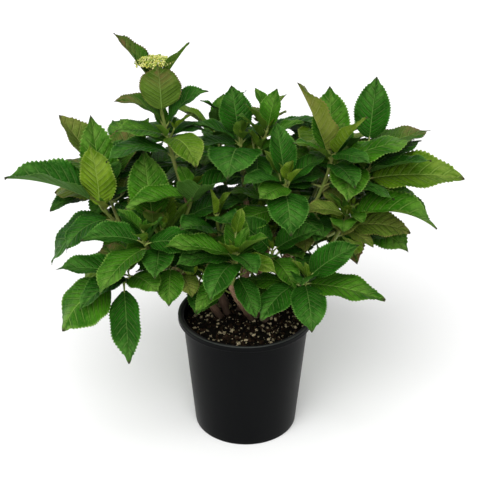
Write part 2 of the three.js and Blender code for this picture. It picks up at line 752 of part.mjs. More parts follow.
// Flat-topped head of buds on short rays above a twig's tip
function flowerHead(tip) {
  const level = tip.z + HEAD_RISE
  const rings = [0.35, 0.75, 1].map((share, ring) =>
    Array.from({ length: HEAD_SECTORS }, (_, sector) => {
      const turn = (2 * Math.PI * sector) / HEAD_SECTORS
      const radius = HEAD_RADIUS * share * (1 + 0.08 * Math.cos(5 * turn + ring))
      const crown = HEAD_THICKNESS * (1 - 0.6 * share * share) + 1.2 * Math.cos(7 * turn + 2 * ring)
      return new THREE.Vector3(tip.x + radius * Math.cos(turn), tip.y + radius * Math.sin(turn), level + crown)
    }),
  )
  const under = rings[2].map((point) => new THREE.Vector3(
    THREE.MathUtils.lerp(tip.x, point.x, 0.8),
    THREE.MathUtils.lerp(tip.y, point.y, 0.8),
    level,
  ))
  const dome = skinOver([under, rings[2], rings[1], rings[0]], tip.clone().setZ(level + HEAD_THICKNESS))
  const rays = Array.from({ length: HEAD_RAYS }, (_, ray) => {
    const out = heading((360 * ray) / HEAD_RAYS, 45)
    const end = tip.clone().addScaledVector(out, HEAD_RISE * 1.7)
    return tube([tip.clone().addScaledVector(UP, -6), end], [1.6, 1.2], 3)
  })
  return [dome, ...rays, tube([tip.clone().addScaledVector(UP, -4), tip.clone().setZ(level + 3)], [1.8, 1.6], 5)]
}

// Plain mesh to solid and back
function solid({ points, faces }) {
  const manifoldMesh = new wasm.Mesh({
    numProp: 3,
    vertProperties: new Float32Array(points.flatMap((point) => point.toArray())),
    triVerts: new Uint32Array(faces.flat()),
  })
  return new wasm.Manifold(manifoldMesh)
}

function geometry(joined) {
  const { numProp, vertProperties, triVerts } = joined.getMesh()
  const shape = new THREE.BufferGeometry()
  const positions = new Float32Array((vertProperties.length / numProp) * 3)
  for (let index = 0; index < positions.length / 3; index += 1) {
    positions.set(vertProperties.subarray(index * numProp, index * numProp + 3), index * 3)
  }
  shape.setAttribute('position', new THREE.BufferAttribute(positions, 3))
  shape.setIndex(Array.from(triVerts))
  return shape
}

function latheSolid(profile, facets) {
  const shape = new THREE.LatheGeometry(profile.map(([radius, height]) => new THREE.Vector2(radius, height)), facets)
  shape.rotateX(Math.PI / 2)
  shape.deleteAttribute('normal')
  shape.deleteAttribute('uv')
  const merged = mergeVertices(shape, 1e-4)
  const manifoldMesh = new wasm.Mesh({
    numProp: 3,
    vertProperties: new Float32Array(merged.attributes.position.array),
    triVerts: new Uint32Array(merged.index.array),
  })
  return new wasm.Manifold(manifoldMesh)
}

const group = new THREE.Group()
function addNode(name, shape, colour, roughness) {
  const mesh = new THREE.Mesh(shape, new THREE.MeshStandardMaterial({ color: colour, roughness, metalness: 0 }))
  mesh.name = name
  group.add(mesh)
}

// Pot: one skin of plastic with a rolled band at the rim and drain holes in the floor
const bandFoot = POT_HEIGHT - POT_RIM_BAND
const potProfile = [
  [0, 0],
  [POT_FOOT_RADIUS - POT_EDGE, 0],
  [POT_FOOT_RADIUS, POT_EDGE],
  [POT_BODY_TOP_RADIUS, bandFoot],
  [POT_RIM_RADIUS, bandFoot],
  [POT_RIM_RADIUS, POT_HEIGHT - POT_EDGE],
  [POT_RIM_RADIUS - POT_EDGE, POT_HEIGHT],
  [POT_BODY_TOP_RADIUS, POT_HEIGHT],
  [POT_BODY_TOP_RADIUS - POT_WALL, POT_HEIGHT - POT_EDGE],
  [POT_BODY_TOP_RADIUS - POT_WALL, bandFoot],
  [POT_FOOT_RADIUS - POT_WALL, POT_FLOOR],
  [0, POT_FLOOR],
]
let pot = latheSolid(potProfile, POT_FACETS)
for (let hole = 0; hole < DRAIN_HOLES; hole += 1) {
  const turn = (2 * Math.PI * (hole + 0.5)) / DRAIN_HOLES
  const centre = new THREE.Vector3(DRAIN_RING_RADIUS * Math.cos(turn), DRAIN_RING_RADIUS * Math.sin(turn), -1)
  const top = centre.clone().setZ(POT_FLOOR + 1)
  pot = pot.subtract(solid(tube([centre, top], [DRAIN_RADIUS, DRAIN_RADIUS], DRAIN_FACETS)))
}
addNode('pot', geometry(pot), COLOURS.pot, 0.42)

// Potting mix fills the pot to below the rim
const wallRadius = (height) =>
  THREE.MathUtils.lerp(POT_FOOT_RADIUS, POT_BODY_TOP_RADIUS, height / bandFoot) - POT_WALL - 2 * GAP
const mixProfile = [
  [0, POT_FLOOR + GAP],
  [wallRadius(0), POT_FLOOR + GAP],
  [wallRadius(MIX_LEVEL), MIX_LEVEL],
  [0, MIX_LEVEL],
]
addNode('potting_mix', geometry(latheSolid(mixProfile, POT_FACETS)), COLOURS.mix, 0.95)

for (const [name, { skin, colour }] of limbs) {
  addNode(name, geometry(solid(skin)), colour, 0.75)
}

// Foliage: twigs, stalks and blades of each mass fused into one body
for (const mass of MASSES) {
  const own = twigs.filter((twig) => twig.mass === mass)
  const pieces = own.map((twig) => twig.skin)
  for (const leaf of leaves.filter(({ twig }) => twig.mass === mass)) {
    pieces.push(wholeLeaf(leaf))
  }
  if (mass.flowers) pieces.push(...flowerHead(own[0].path[TWIG_STEPS]))
  const joined = pieces.map(solid).reduce((sum, piece) => sum.add(piece))
  addNode(mass.name, geometry(joined), COLOURS.foliage, 0.5)
}

export default group
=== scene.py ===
"""Potted hydrangea shrub, dressed for close views.

The packed solids are the frame. Canes, boughs, twigs and leaves grow here by the rule that made the
solids, and are carried on to side shoots, young leaves, toothed margins and veins. Growth is worked
out in millimetres, +Z up, with the front of the plant towards -Y, and meshes are written in metres.
Bearings are degrees from +X towards +Y, and rises are degrees above level.
"""

import math
from functools import cache

import bpy
import numpy as np
from bpy.props import FloatProperty, FloatVectorProperty, IntProperty, PointerProperty
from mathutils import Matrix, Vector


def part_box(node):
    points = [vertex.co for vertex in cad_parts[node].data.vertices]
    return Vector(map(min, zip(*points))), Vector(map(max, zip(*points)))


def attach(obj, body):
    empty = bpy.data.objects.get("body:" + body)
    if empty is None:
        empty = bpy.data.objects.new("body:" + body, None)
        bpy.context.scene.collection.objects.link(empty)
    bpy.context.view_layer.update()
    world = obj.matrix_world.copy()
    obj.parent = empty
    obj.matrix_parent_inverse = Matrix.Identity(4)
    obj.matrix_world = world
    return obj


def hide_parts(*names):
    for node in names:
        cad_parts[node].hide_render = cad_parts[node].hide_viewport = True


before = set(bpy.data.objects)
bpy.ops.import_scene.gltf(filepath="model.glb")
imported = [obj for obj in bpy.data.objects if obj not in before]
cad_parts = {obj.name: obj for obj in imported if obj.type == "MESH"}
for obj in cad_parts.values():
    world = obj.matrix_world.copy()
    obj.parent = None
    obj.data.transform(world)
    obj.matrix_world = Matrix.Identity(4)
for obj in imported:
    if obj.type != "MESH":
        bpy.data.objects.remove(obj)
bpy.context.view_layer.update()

bl_info = {
    "name": "Potted hydrangea",
    "version": (1, 0, 0),
    "blender": (4, 5, 0),
    "location": "View3D > Sidebar > Hydrangea",
    "description": "Canes, twigs, leaves, young flower head, pot and potting mix of a potted hydrangea",
    "category": "Object",
}

MM = 0.001
BODY = "root"


def node_top(node):
    """Half the width and the top of a node of the frame, in millimetres."""
    low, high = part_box(node)
    return (high.x - low.x) / 2 / MM, high.z / MM


POT_RIM_RADIUS, POT_HEIGHT = node_top("pot")
MIX_LEVEL = node_top("potting_mix")[1]

# Growth of limbs and twigs, as in the solids
GAP = 0.3
POT_ROOM = 5
DRUM_FACETS = 24
LIMB_FACETS = 7
LIMB_STEPS = 4
CANE_TIP_RADIUS = 4.6
BOUGH_RADIUS = 4.4
BOUGH_TIP_RADIUS = 4.1
LIMB_BEND = 0.45
SEAT_STEP = 0.1
TWIG_FACETS = 4
TWIG_STEPS = 4
TWIG_RADIUS = 3.7
SIDE_TWIG_RADIUS = 3.0
TWIG_TIP_RADIUS = 1.9
TWIG_SPREAD = 0.62
TWIG_CLIMB = 0.38

# Leaf pairs, youngest first
PAIR_DISTANCES = [5, 18, 46, 84, 126]
PAIR_SIZES = [0.42, 0.8, 1, 1, 0.92]
PAIR_RISES = [66, 42, 20, 6, -4]
PAIR_DROOPS = [14, 32, 46, 52, 50]
PAIR_FOLDS = [28, 16, 8, 2, -4]
SIZE_SPREAD = 0.08
BEARING_SPREAD = 14
RISE_SPREAD = 9
DROOP_SPREAD = 12
ROLL_SPREAD = 16
FOLD_SPREAD = 6
LEAF_RATIO = 0.58
RATIO_SPREAD = 0.05

# Solid that stands for a leaf while room is sought for it, and the swings and lifts that are tried
LONG_LEAF = 112
LONG_STATIONS = [0.15, 0.37, 0.62, 0.84]
SHORT_STATIONS = [0.18, 0.5, 0.8]
MIDRIB_SAMPLES = 12
MIDRIB_SHARE = 1 / 80
MIDRIB_BASE = 0.5
MIDRIB_ABOVE = 0.6
MIDRIB_BELOW = 0.4
PETIOLE_SHARE = 0.1
PETIOLE_BASE = 4
PETIOLE_RADIUS = 1.7
PETIOLE_TAPER = 0.8
PETIOLE_MAX_RISE = 56
PETIOLE_LIFT = 10
ROOM_FACTOR = 2
SWINGS = [0, 12, -12, 24, -24, 36, -36]
LIFTS = [0, 10, -10, 20, -20]

# Numbers that keep the chances of one kind of growth apart from those of the others
LEAF_CHANCE = 50
SHOOT_CHANCE = 60
TIP_CHANCE = 20
SHOOT_LEAF_CHANCE = 7

# Scatter of chance, how near X a path may lie before Y guides its rings, and limits of rounding
CHANCE_STEPS = (12.9898, 78.233, 37.719, 9.151)
CHANCE_SCALE = 43758.5453
NEAR_X = 0.8
LEVEL_FACE = 1e-12
ROUNDING = 1e-9

# Flower head above the tallest twig
HEAD_RADIUS = 29
HEAD_RISE = 12
HEAD_THICKNESS = 9

# Finer growth than the solids show: side shoots from the angles of leaves and the sides of limbs,
# with crossed pairs of leaves that are smallest at the tip
SHOOT_SIZES = [0.15, 0.42, 0.74]
SHOOT_RISES = [74, 52, 22]
SHOOT_DISTANCES = [0, 4, 15]
SHOOT_REACH = 22
SHOOT_REACH_SPREAD = 24
SHOOT_KNEE = 0.5
SHOOT_ONWARD = 0.7
SHOOT_UPTURN = 0.3
SHOOT_TURN = 20
SHOOT_RADIUS = 1.8
SHOOT_TIP_RADIUS = 1.0
SHOOT_LIFT = 28
SHOOT_MAX_RISE = 78
SHOOT_SWINGS = [0, 16, -16, 32, -32]
AXIL_SHARE = 0.85
HEAD_BARE_PAIRS = 3
LIMB_SHOOT_PITCH = 18
LIMB_SHOOT_START = 28
LIMB_SHOOT_END = 10
LIMB_SHOOT_RISE = 30
LIMB_SHOOT_LEAST = 0.6
LIMB_SHOOT_SPREAD = 0.8
LIMB_SHOOT_OFFSET = 5
LIMB_SHOOT_LEAF = 108
LIMB_OWNER = 1000
GOLDEN_ANGLE = 137.5
TIP_SIZES = [0.26, 0.15]
TIP_RISES = [70, 80]
SPACE_MARGIN = 4
YOUNG_LENGTH = 46

# Habit of a finer leaf while it is young, and what is added as it opens between two lengths
OPENING_START = 25
OPENING_END = 85
YOUNG_DROOP = 14
OPEN_DROOP = 30
YOUNG_FOLD = 26
OPEN_FOLD = -18
YOUNG_RATIO = 0.5
OPEN_RATIO = 0.1
FINE_PETIOLE_BASE = 2
FINE_PETIOLE_SHARE = 0.09

# Canes: foot, radius there, and the mass that each ends at
CANES = [
    ("left_cane", (-44, 14), 6.4, "left_low_foliage"),
    ("leader_cane", (-32, 24), 6.2, "leader_foliage"),
    ("front_cane", (10, 4), 4.8, "front_low_foliage"),
    ("crown_cane", (8, 20), 6.0, "top_centre_foliage"),
    ("middle_cane", (-10, 38), 5.8, "top_left_foliage"),
    ("right_cane", (34, 6), 6.4, "top_right_foliage"),
    ("front_right_cane", (22, 16), 4.8, "low_right_foliage"),
    ("back_left_cane", (-32, 52), 5.6, "back_left_foliage"),
    ("back_cane", (4, 62), 5.6, "back_centre_foliage"),
    ("back_right_cane", (36, 50), 5.6, "back_right_foliage"),
]

# Boughs: the cane that each leaves, how far up it, and the mass that it ends at
BOUGHS = [
    ("left_outer_bough", "left_cane", 0.62, "left_outer_foliage"),
    ("front_left_low_bough", "left_cane", 0.42, "front_left_low_foliage"),
    ("front_left_bough", "leader_cane", 0.3, "front_left_foliage"),
    ("left_side_bough", "leader_cane", 0.36, "left_side_foliage"),
    ("centre_bough", "middle_cane", 0.42, "centre_foliage"),
    ("centre_low_bough", "crown_cane", 0.34, "centre_low_foliage"),
    ("right_outer_bough", "right_cane", 0.62, "right_outer_foliage"),
    ("right_low_bough", "right_cane", 0.4, "right_low_foliage"),
    ("right_side_bough", "right_cane", 0.3, "right_side_foliage"),
    ("back_low_left_bough", "back_left_cane", 0.4, "back_low_left_foliage"),
    ("back_low_bough", "back_cane", 0.4, "back_low_foliage"),
    ("back_low_right_bough", "back_right_cane", 0.4, "back_low_right_foliage"),
]


def habit(pair, side, bearing, rise, length, droop, **more):
    """A leaf with a habit of its own, known by its pair and side."""
    return dict(pair=pair, side=side, bearing=bearing, rise=rise, length=length, droop=droop, **more)


def twig(tip, pairs, leaf, bearing, distances=PAIR_DISTANCES, branch=None, named=()):
    """A twig by its tip, its pairs of leaves, the full length of a leaf, the bearing of the youngest
    pair and the pairs' distances from the tip. A second twig branches from the first at a share of
    its length. Leaves with a habit of their own are named."""
    return dict(
        tip=tip, pairs=pairs, leaf=leaf, bearing=bearing, distances=distances, branch=branch, named=named)


# Masses of foliage: the foot, where the limb ends, and one or two twigs
MASSES = [
    dict(
        name="leader_foliage", foot=[-96, 0, 425], flowers=True,
        twigs=[
            twig([-139, 0, 630], 5, 100, 0, [26, 68, 90, 112, 144], named=[
                habit(0, 0, 6, 58, 80, 8, fold=20, petiole=6, roll=-20, ratio=0.66),
                habit(0, 1, -180, 57, 95, 6, fold=30, petiole=10, roll=-14, ratio=0.48, tint="flushed"),
                habit(1, 0, -90, 74, 92, 20, fold=12, ratio=0.66, tint="flushed"),
                habit(1, 1, 88, 50, 80, 60, fold=12),
                habit(2, 0, -10, 68, 84, 56, fold=18, roll=22),
                habit(2, 1, -172, 64, 84, 75, fold=18, roll=-8, tint="flushed"),
                habit(3, 0, -52, 24, 78, 96, fold=8, ratio=0.7, tint="young"),
                habit(4, 1, -158, 40, 108, 80, fold=8, tint="deep"),
            ]),
        ],
    ),
    dict(
        name="left_outer_foliage", foot=[-150, -30, 345],
        twigs=[
            twig([-236, -16, 424], 4, 120, 95, [4, 12, 24, 44], named=[
                habit(1, 0, 180, 32, 142, 34, fold=38, tint="deep"),
                habit(2, 1, -138, 92, 106, 16, fold=4, petiole=20, roll=32, ratio=0.52, tint="young"),
                habit(2, 0, 112, 72, 138, 8, fold=10, ratio=0.42, tint="green"),
                habit(3, 0, -150, 14, 92, 84, fold=5),
            ]),
            twig([-232, 46, 440], 3, 118, 140, branch=0.6, named=[
                habit(0, 0, 146, 50, 112, 12, fold=25, tint="bronze"),
                habit(1, 0, 62, 62, 108, 12, fold=20, tint="flushed"),
            ]),
        ],
    ),
    dict(
        name="left_low_foliage", foot=[-112, -62, 320],
        twigs=[
            twig([-154, -108, 396], 3, 108, -170, [4, 14, 34], named=[
                habit(0, 0, -172, 24, 88, 40, roll=-15),
                habit(1, 0, -127, 5, 106, 50, roll=10),
                habit(2, 1, 20, 24, 90, 24),
            ]),
            twig([-200, -122, 332], 3, 100, -140, [4, 14, 30], branch=0.35, named=[
                habit(0, 0, -152, -2, 106, 72, fold=-14, roll=-12, ratio=0.88),
                habit(1, 0, -82, -50, 112, 20, roll=30, ratio=0.46),
                habit(2, 0, -168, 26, 108, 30),
            ]),
        ],
    ),
    dict(
        name="front_left_foliage", foot=[-92, -40, 330],
        twigs=[
            twig([-146, -60, 402], 3, 116, 100, [4, 14, 34], named=[
                habit(0, 0, 104, 60, 108, 10, fold=5, ratio=0.56),
                habit(2, 0, -26, 50, 88, 24),
            ]),
            twig([-82, -44, 446], 3, 104, 30, branch=0.5, named=[
                habit(0, 0, 30, 25, 90, 40, tint="deep"),
                habit(0, 1, -161, 10, 96, 30),
            ]),
        ],
    ),
    dict(
        name="front_left_low_foliage", foot=[-72, -58, 296],
        twigs=[
            twig([-118, -100, 352], 3, 70, -82, [4, 14, 30], named=[
                habit(0, 0, -90, 0, 68, 60, fold=-5),
            ]),
        ],
    ),
    dict(
        name="front_low_foliage", foot=[-22, -62, 300],
        twigs=[
            twig([-14, -128, 386], 4, 92, -168, [4, 12, 26, 56], named=[
                habit(0, 0, -31, 50, 62, 24),
                habit(1, 0, -168, 30, 106, 34),
                habit(1, 1, 90, 66, 66, 20),
                habit(2, 0, -117, 20, 84, 80),
                habit(3, 0, -138, -5, 80, 50),
                habit(3, 1, -60, -20, 72, 40, ratio=0.5),
            ]),
        ],
    ),
    dict(
        name="centre_foliage", foot=[-34, -18, 330],
        twigs=[twig([-46, -58, 420], 3, 100, 20)],
    ),
    dict(
        name="top_left_foliage", foot=[0, 30, 400],
        twigs=[
            twig([-10, 42, 508], 4, 100, 100, [4, 14, 30, 60], named=[
                habit(0, 0, 115, 74, 76, 8, fold=8, ratio=0.72),
                habit(2, 0, -100, 40, 118, 84, fold=0, ratio=0.66, tint="deep"),
            ]),
            twig([34, 44, 520], 3, 80, 90, branch=0.5, named=[
                habit(0, 0, 60, 70, 62, 14),
                habit(0, 1, -150, 60, 60, 12),
            ]),
        ],
    ),
    dict(
        name="top_centre_foliage", foot=[44, 0, 360],
        twigs=[
            twig([62, -32, 466], 4, 100, 109, [4, 12, 24, 60], named=[
                habit(0, 0, 109, 66, 84, 14),
                habit(1, 0, -143, 30, 78, 34),
                habit(2, 0, -86, 14, 100, 66, fold=-4, ratio=0.6, tint="deep"),
                habit(3, 0, -37, 5, 80, 50, tint="deep"),
            ]),
        ],
    ),
    dict(
        name="top_right_foliage", foot=[96, 10, 380],
        twigs=[
            twig([136, 0, 496], 4, 104, 95, [4, 12, 26, 60], named=[
                habit(0, 0, -161, 70, 126, 10, fold=34, ratio=0.5, tint="bronze"),
                habit(0, 1, -44, 68, 90, 12, tint="young"),
                habit(1, 0, 92, 76, 104, 6, fold=12),
                habit(1, 1, -147, 44, 78, 30),
                habit(2, 0, 9, 26, 128, 24),
            ]),
            twig([198, 44, 496], 4, 108, 74, branch=0.5, named=[
                habit(0, 0, 72, 74, 98, 6, fold=8, ratio=0.56),
                habit(1, 0, 20, 34, 108, 10, tint="flushed"),
            ]),
        ],
    ),
    dict(
        name="right_outer_foliage", foot=[140, 14, 372],
        twigs=[
            twig([194, 24, 462], 4, 118, 74, [4, 12, 24, 44], named=[
                habit(2, 0, -8, 34, 146, 22, fold=20, roll=18, tint="young"),
                habit(1, 0, 24, 54, 100, 30),
                habit(3, 1, 12, 22, 100, 40, tint="young"),
            ]),
        ],
    ),
    dict(
        name="right_low_foliage", foot=[120, -20, 330],
        twigs=[
            twig([158, -40, 410], 4, 98, -9, [4, 14, 30, 46], named=[
                habit(0, 0, -70, 30, 56, 36),
                habit(1, 0, -4, 36, 140, 68, fold=26, tint="green"),
                habit(2, 0, -44, 10, 60, 40, tint="bronze"),
                habit(3, 0, 0, 10, 70, 30),
            ]),
        ],
    ),
    dict(
        name="low_right_foliage", foot=[58, -56, 290],
        twigs=[
            twig([96, -106, 332], 4, 88, -15, [4, 14, 26, 44], named=[
                habit(2, 0, -15, 4, 120, 20),
                habit(1, 0, -84, 0, 86, 66, fold=-6, ratio=0.6),
                habit(2, 1, -134, 8, 88, 60, fold=-4, ratio=0.6),
                habit(0, 0, 4, 46, 86, 24, roll=50),
                habit(3, 0, 172, 16, 76, 40),
            ]),
        ],
    ),
    dict(
        name="centre_low_foliage", foot=[26, -30, 296],
        twigs=[
            twig([42, -60, 358], 4, 92, -30, named=[
                habit(0, 0, -20, 34, 82, 24, roll=40),
                habit(0, 1, -160, 54, 78, 14, roll=-52, ratio=0.68),
                habit(1, 0, -62, -4, 72, 50),
                habit(1, 1, -152, 8, 88, 40, roll=-20),
            ]),
        ],
    ),
    dict(
        name="back_left_foliage", foot=[-110, 60, 330],
        twigs=[
            twig([-190, 150, 440], 4, 125, 40),
            twig([-260, 90, 380], 3, 120, 150, branch=0.5),
        ],
    ),
    dict(
        name="back_centre_foliage", foot=[-20, 70, 340],
        twigs=[
            twig([-50, 190, 470], 4, 125, 80),
            twig([40, 160, 500], 3, 115, 10, branch=0.5),
        ],
    ),
    dict(
        name="back_right_foliage", foot=[90, 60, 340],
        twigs=[
            twig([150, 170, 455], 4, 125, 60),
            twig([230, 110, 420], 3, 125, 20, branch=0.5),
        ],
    ),
    dict(
        name="back_low_left_foliage", foot=[-70, 76, 290],
        twigs=[twig([-140, 210, 345], 4, 118, 100)],
    ),
    dict(
        name="back_low_foliage", foot=[14, 84, 290],
        twigs=[
            twig([40, 255, 370], 4, 118, 60),
            twig([-12, 96, 338], 2, 104, 0, branch=0.25),
        ],
    ),
    dict(
        name="back_low_right_foliage", foot=[84, 72, 290],
        twigs=[twig([190, 220, 350], 4, 112, 30)],
    ),
    dict(
        name="left_side_foliage", foot=[-104, 14, 312],
        twigs=[twig([-240, 40, 340], 4, 115, 120)],
    ),
    dict(
        name="right_side_foliage", foot=[112, 26, 330],
        twigs=[twig([236, 60, 396], 4, 110, 60)],
    ),
]


def unit(vectors):
    """Vectors scaled to length one."""
    return vectors / np.linalg.norm(vectors, axis=-1, keepdims=True)


def smooth(low, high, value):
    """0 below low, 1 above high and 3 x^2 - 2 x^3 between."""
    x = np.clip((value - low) / (high - low), 0, 1)
    return x * x * (3 - 2 * x)


def chance(*row):
    """Even value in 0..1 for a row of whole numbers, always the same for the same row."""
    wave = math.sin(sum(number * step for number, step in zip(row, CHANCE_STEPS))) * CHANCE_SCALE
    return wave - math.floor(wave)


def heading(bearing, rise):
    """Unit vectors at bearings and rises: (cos r cos b, cos r sin b, sin r)."""
    bearing, rise = np.broadcast_arrays(np.radians(bearing), np.radians(rise))
    return np.stack([np.cos(rise) * np.cos(bearing), np.cos(rise) * np.sin(bearing), np.sin(rise)], -1)


def curve(start, knee, end, steps):
    """Points (1 - s)^2 start + 2 s (1 - s) knee + s^2 end at even steps of s."""
    s = np.linspace(0, 1, steps + 1)[:, None]
    return (1 - s) ** 2 * np.asarray(start) + 2 * s * (1 - s) * np.asarray(knee) + s ** 2 * np.asarray(end)


def travelled(path):
    """Distance along a path at each of its points."""
    return np.concatenate([[0], np.cumsum(np.linalg.norm(np.diff(path, axis=0), axis=1))])


def tube(path, radii, facets, start_along=None, end_along=None):
    """Rings square to a path. The ring at angle a lies at radius (first cos a + second sin a), where
    first is the path's direction crossed with X or Y, and second the direction crossed with first."""
    path = np.asarray(path, float)
    lean = unit(path[-1] - path[0])
    guide = np.array([1.0, 0, 0]) if abs(lean[0]) < NEAR_X else np.array([0, 1.0, 0])
    along = unit(np.concatenate([path[1:], path[-1:]]) - np.concatenate([path[:1], path[:-1]]))
    if start_along is not None:
        along[0] = start_along
    if end_along is not None:
        along[-1] = end_along
    first = unit(np.cross(along, guide))
    second = np.cross(along, first)
    turn = 2 * np.pi * np.arange(facets) / facets
    circle = first[:, None] * np.cos(turn)[:, None] + second[:, None] * np.sin(turn)[:, None]
    return path[:, None] + np.reshape(radii, (len(path), -1, 1)) * circle


def skin(rings, tip=None):
    """Triangles of the closed skin over rings, with flat ends, or a fan to a point at the far end."""
    rings = np.asarray(rings)
    facets = rings.shape[1]
    low, high = rings[:-1], rings[1:]
    low_next, high_next = np.roll(low, -1, 1), np.roll(high, -1, 1)
    faces = [np.stack([low, low_next, high_next], 2), np.stack([low, high_next, high], 2)]
    fans = [np.stack([np.broadcast_to(ring[0], (facets - 2, 3)), ring[1:-1], ring[2:]], 1)
            for ring in (rings[0], rings[-1])]
    if tip is not None:
        last = rings[-1]
        fans[1] = np.stack([last, np.roll(last, -1, 0), np.broadcast_to(tip, last.shape)], 1)
    return np.concatenate([face.reshape(-1, 3, 3) for face in faces] + fans)


def pierced(edges, faces):
    """Whether an edge of any first triangle passes through the second triangle of its row. An edge
    from p along e meets the face (a, b, c) where p + w e = a + u (b - a) + v (c - a), with u, v and w
    in 0..1 and u + v at most 1."""
    edge = np.roll(edges, -1, 1) - edges
    a = faces[:, None, 0]
    side_b = faces[:, None, 1] - a
    side_c = faces[:, None, 2] - a
    normal = np.cross(edge, side_c)
    facing = (normal * side_b).sum(-1)
    flat = np.abs(facing) <= LEVEL_FACE
    facing = np.where(flat, 1, facing)
    offset = edges - a
    slant = np.cross(offset, side_b)
    u = (offset * normal).sum(-1) / facing
    v = (edge * slant).sum(-1) / facing
    w = (side_c * slant).sum(-1) / facing
    return bool((~flat & (u >= 0) & (v >= 0) & (u + v <= 1) & (w >= 0) & (w <= 1)).any())


def meets(one, other):
    """Whether an edge of one mesh passes through a face of the other, tried where their boxes meet."""
    near = np.ones((len(one), len(other)), bool)
    for axis in range(3):
        near &= one[:, :, axis].min(1)[:, None] <= other[:, :, axis].max(1)
        near &= one[:, :, axis].max(1)[:, None] >= other[:, :, axis].min(1)
    first, second = np.nonzero(near)
    if not len(first):
        return False
    return pierced(one[first], other[second]) or pierced(other[second], one[first])


class Room:
    """Solids that leaves keep clear of. Each is owned by the twig or limb that it grows from, or by
    nobody."""

    def __init__(self):
        self.faces = np.empty((0, 3, 3))
        self.low = self.high = np.empty((3, 0))
        self.owners = np.empty(0, int)

    def take(self, faces, owner=0):
        self.faces = np.concatenate([self.faces, faces])
        self.low = np.concatenate([self.low, faces.min(1).T], 1)
        self.high = np.concatenate([self.high, faces.max(1).T], 1)
        self.owners = np.concatenate([self.owners, np.full(len(faces), owner)])

    def blocks(self, faces, passing=-1):
        """Whether a mesh meets anything but what one owner has."""
        near = self.owners != passing
        for axis in range(3):
            near &= self.low[axis] <= faces[:, :, axis].max()
            near &= self.high[axis] >= faces[:, :, axis].min()
        return bool(near.any()) and meets(faces, self.faces[near])


def midrib(leaf, samples):
    """Places, directions across and directions out of the upper face, at even shares of a leaf. The
    rise falls evenly by the droop, and the blade is rolled about its midrib."""
    share = np.linspace(0, 1, samples + 1)
    bearing = leaf["bearing"] + leaf.get("bend", 0) * share ** 2
    rise = leaf["rise"] - leaf["droop"] * share
    along = heading(bearing, rise)
    turn = np.radians(bearing)
    level = np.stack([-np.sin(turn), np.cos(turn), np.zeros_like(turn)], -1)
    upward = np.cross(along, level)
    roll = np.radians(leaf["roll"] + leaf.get("twist", 0) * share)[:, None]
    across = level * np.cos(roll) + upward * np.sin(roll)
    middle = (share[1:] + share[:-1]) / 2
    turned = leaf["bearing"] + leaf.get("bend", 0) * middle ** 2
    steps = leaf["length"] / samples * heading(turned, leaf["rise"] - leaf["droop"] * middle)
    places = leaf["base"] + np.concatenate([np.zeros((1, 3)), np.cumsum(steps, 0)])
    return share, places, across, np.cross(along, across)


def outline(share):
    """Half-width of a leaf as a share of its greatest: 2.33 s^0.55 (1 - s)^0.68."""
    return 2.33 * share ** 0.55 * (1 - share) ** 0.68


def section(place, across, outward, half, top, bottom, raised):
    """Four corners: across to one side, out of the upper face, and back."""
    return np.array([
        place + across * half + outward * raised,
        place + outward * top,
        place - across * half + outward * raised,
        place - outward * bottom,
    ])


def plain_leaf(leaf, fatness):
    """Sections of the stalk and of the blade of a leaf's solid, and its tip."""
    share, places, across, outward = midrib(leaf, MIDRIB_SAMPLES)
    fold = math.radians(leaf["fold"])
    thickness = (leaf["length"] * MIDRIB_SHARE + MIDRIB_BASE) * fatness
    blade = []
    for station in LONG_STATIONS if leaf["length"] > LONG_LEAF else SHORT_STATIONS:
        place, over, out = (
            np.array([np.interp(station, share, rows[:, axis]) for axis in range(3)])
            for rows in (places, across, outward)
        )
        half = leaf["length"] * leaf["ratio"] * outline(station) / 2
        blade.append(section(
            place, unit(over), unit(out), half * math.cos(fold),
            thickness * MIDRIB_ABOVE, thickness * MIDRIB_BELOW, half * math.sin(fold),
        ))
    along = unit(leaf["base"] - leaf["node"])
    side = unit(np.cross([0, 0, 1.0], along))
    out = np.cross(along, side)
    stalk = [
        section(leaf[end], side, out, radius, radius, radius, 0)
        for end, radius in (("node", PETIOLE_RADIUS), ("base", PETIOLE_RADIUS * PETIOLE_TAPER))
    ]
    return stalk, blade, places[-1]


def back_from_tip(path, distance):
    """Point at a distance back from the end of a path, or None past its start."""
    before = travelled(path)
    place = before[-1] - distance
    if place < -ROUNDING:
        return None
    return np.array([np.interp(place, before, path[:, axis]) for axis in range(3)])


def grown_twigs():
    """Every mass's twigs, each with its coarse path, knee and skin."""
    twigs = []
    for mass in MASSES:
        stem = None
        for row in mass["twigs"]:
            tip = np.array(row["tip"], float)
            if stem is None:
                foot = np.array(mass["foot"], float)
            else:
                foot = stem[round(row["branch"] * TWIG_STEPS)]
            knee = foot + (tip - foot) * [TWIG_SPREAD, TWIG_SPREAD, TWIG_CLIMB]
            path = curve(foot, knee, tip, TWIG_STEPS)
            radius = TWIG_RADIUS if stem is None else SIDE_TWIG_RADIUS
            radii = np.linspace(radius, TWIG_TIP_RADIUS, TWIG_STEPS + 1)
            twigs.append({
                **row,
                "mass": mass,
                "number": len(twigs) + 1,
                "first": stem is None,
                "path": path,
                "bend": (foot, knee, tip),
                "radius": radius,
                "skin": skin(tube(path, radii, TWIG_FACETS)),
            })
            stem = path if stem is None else stem
    return twigs


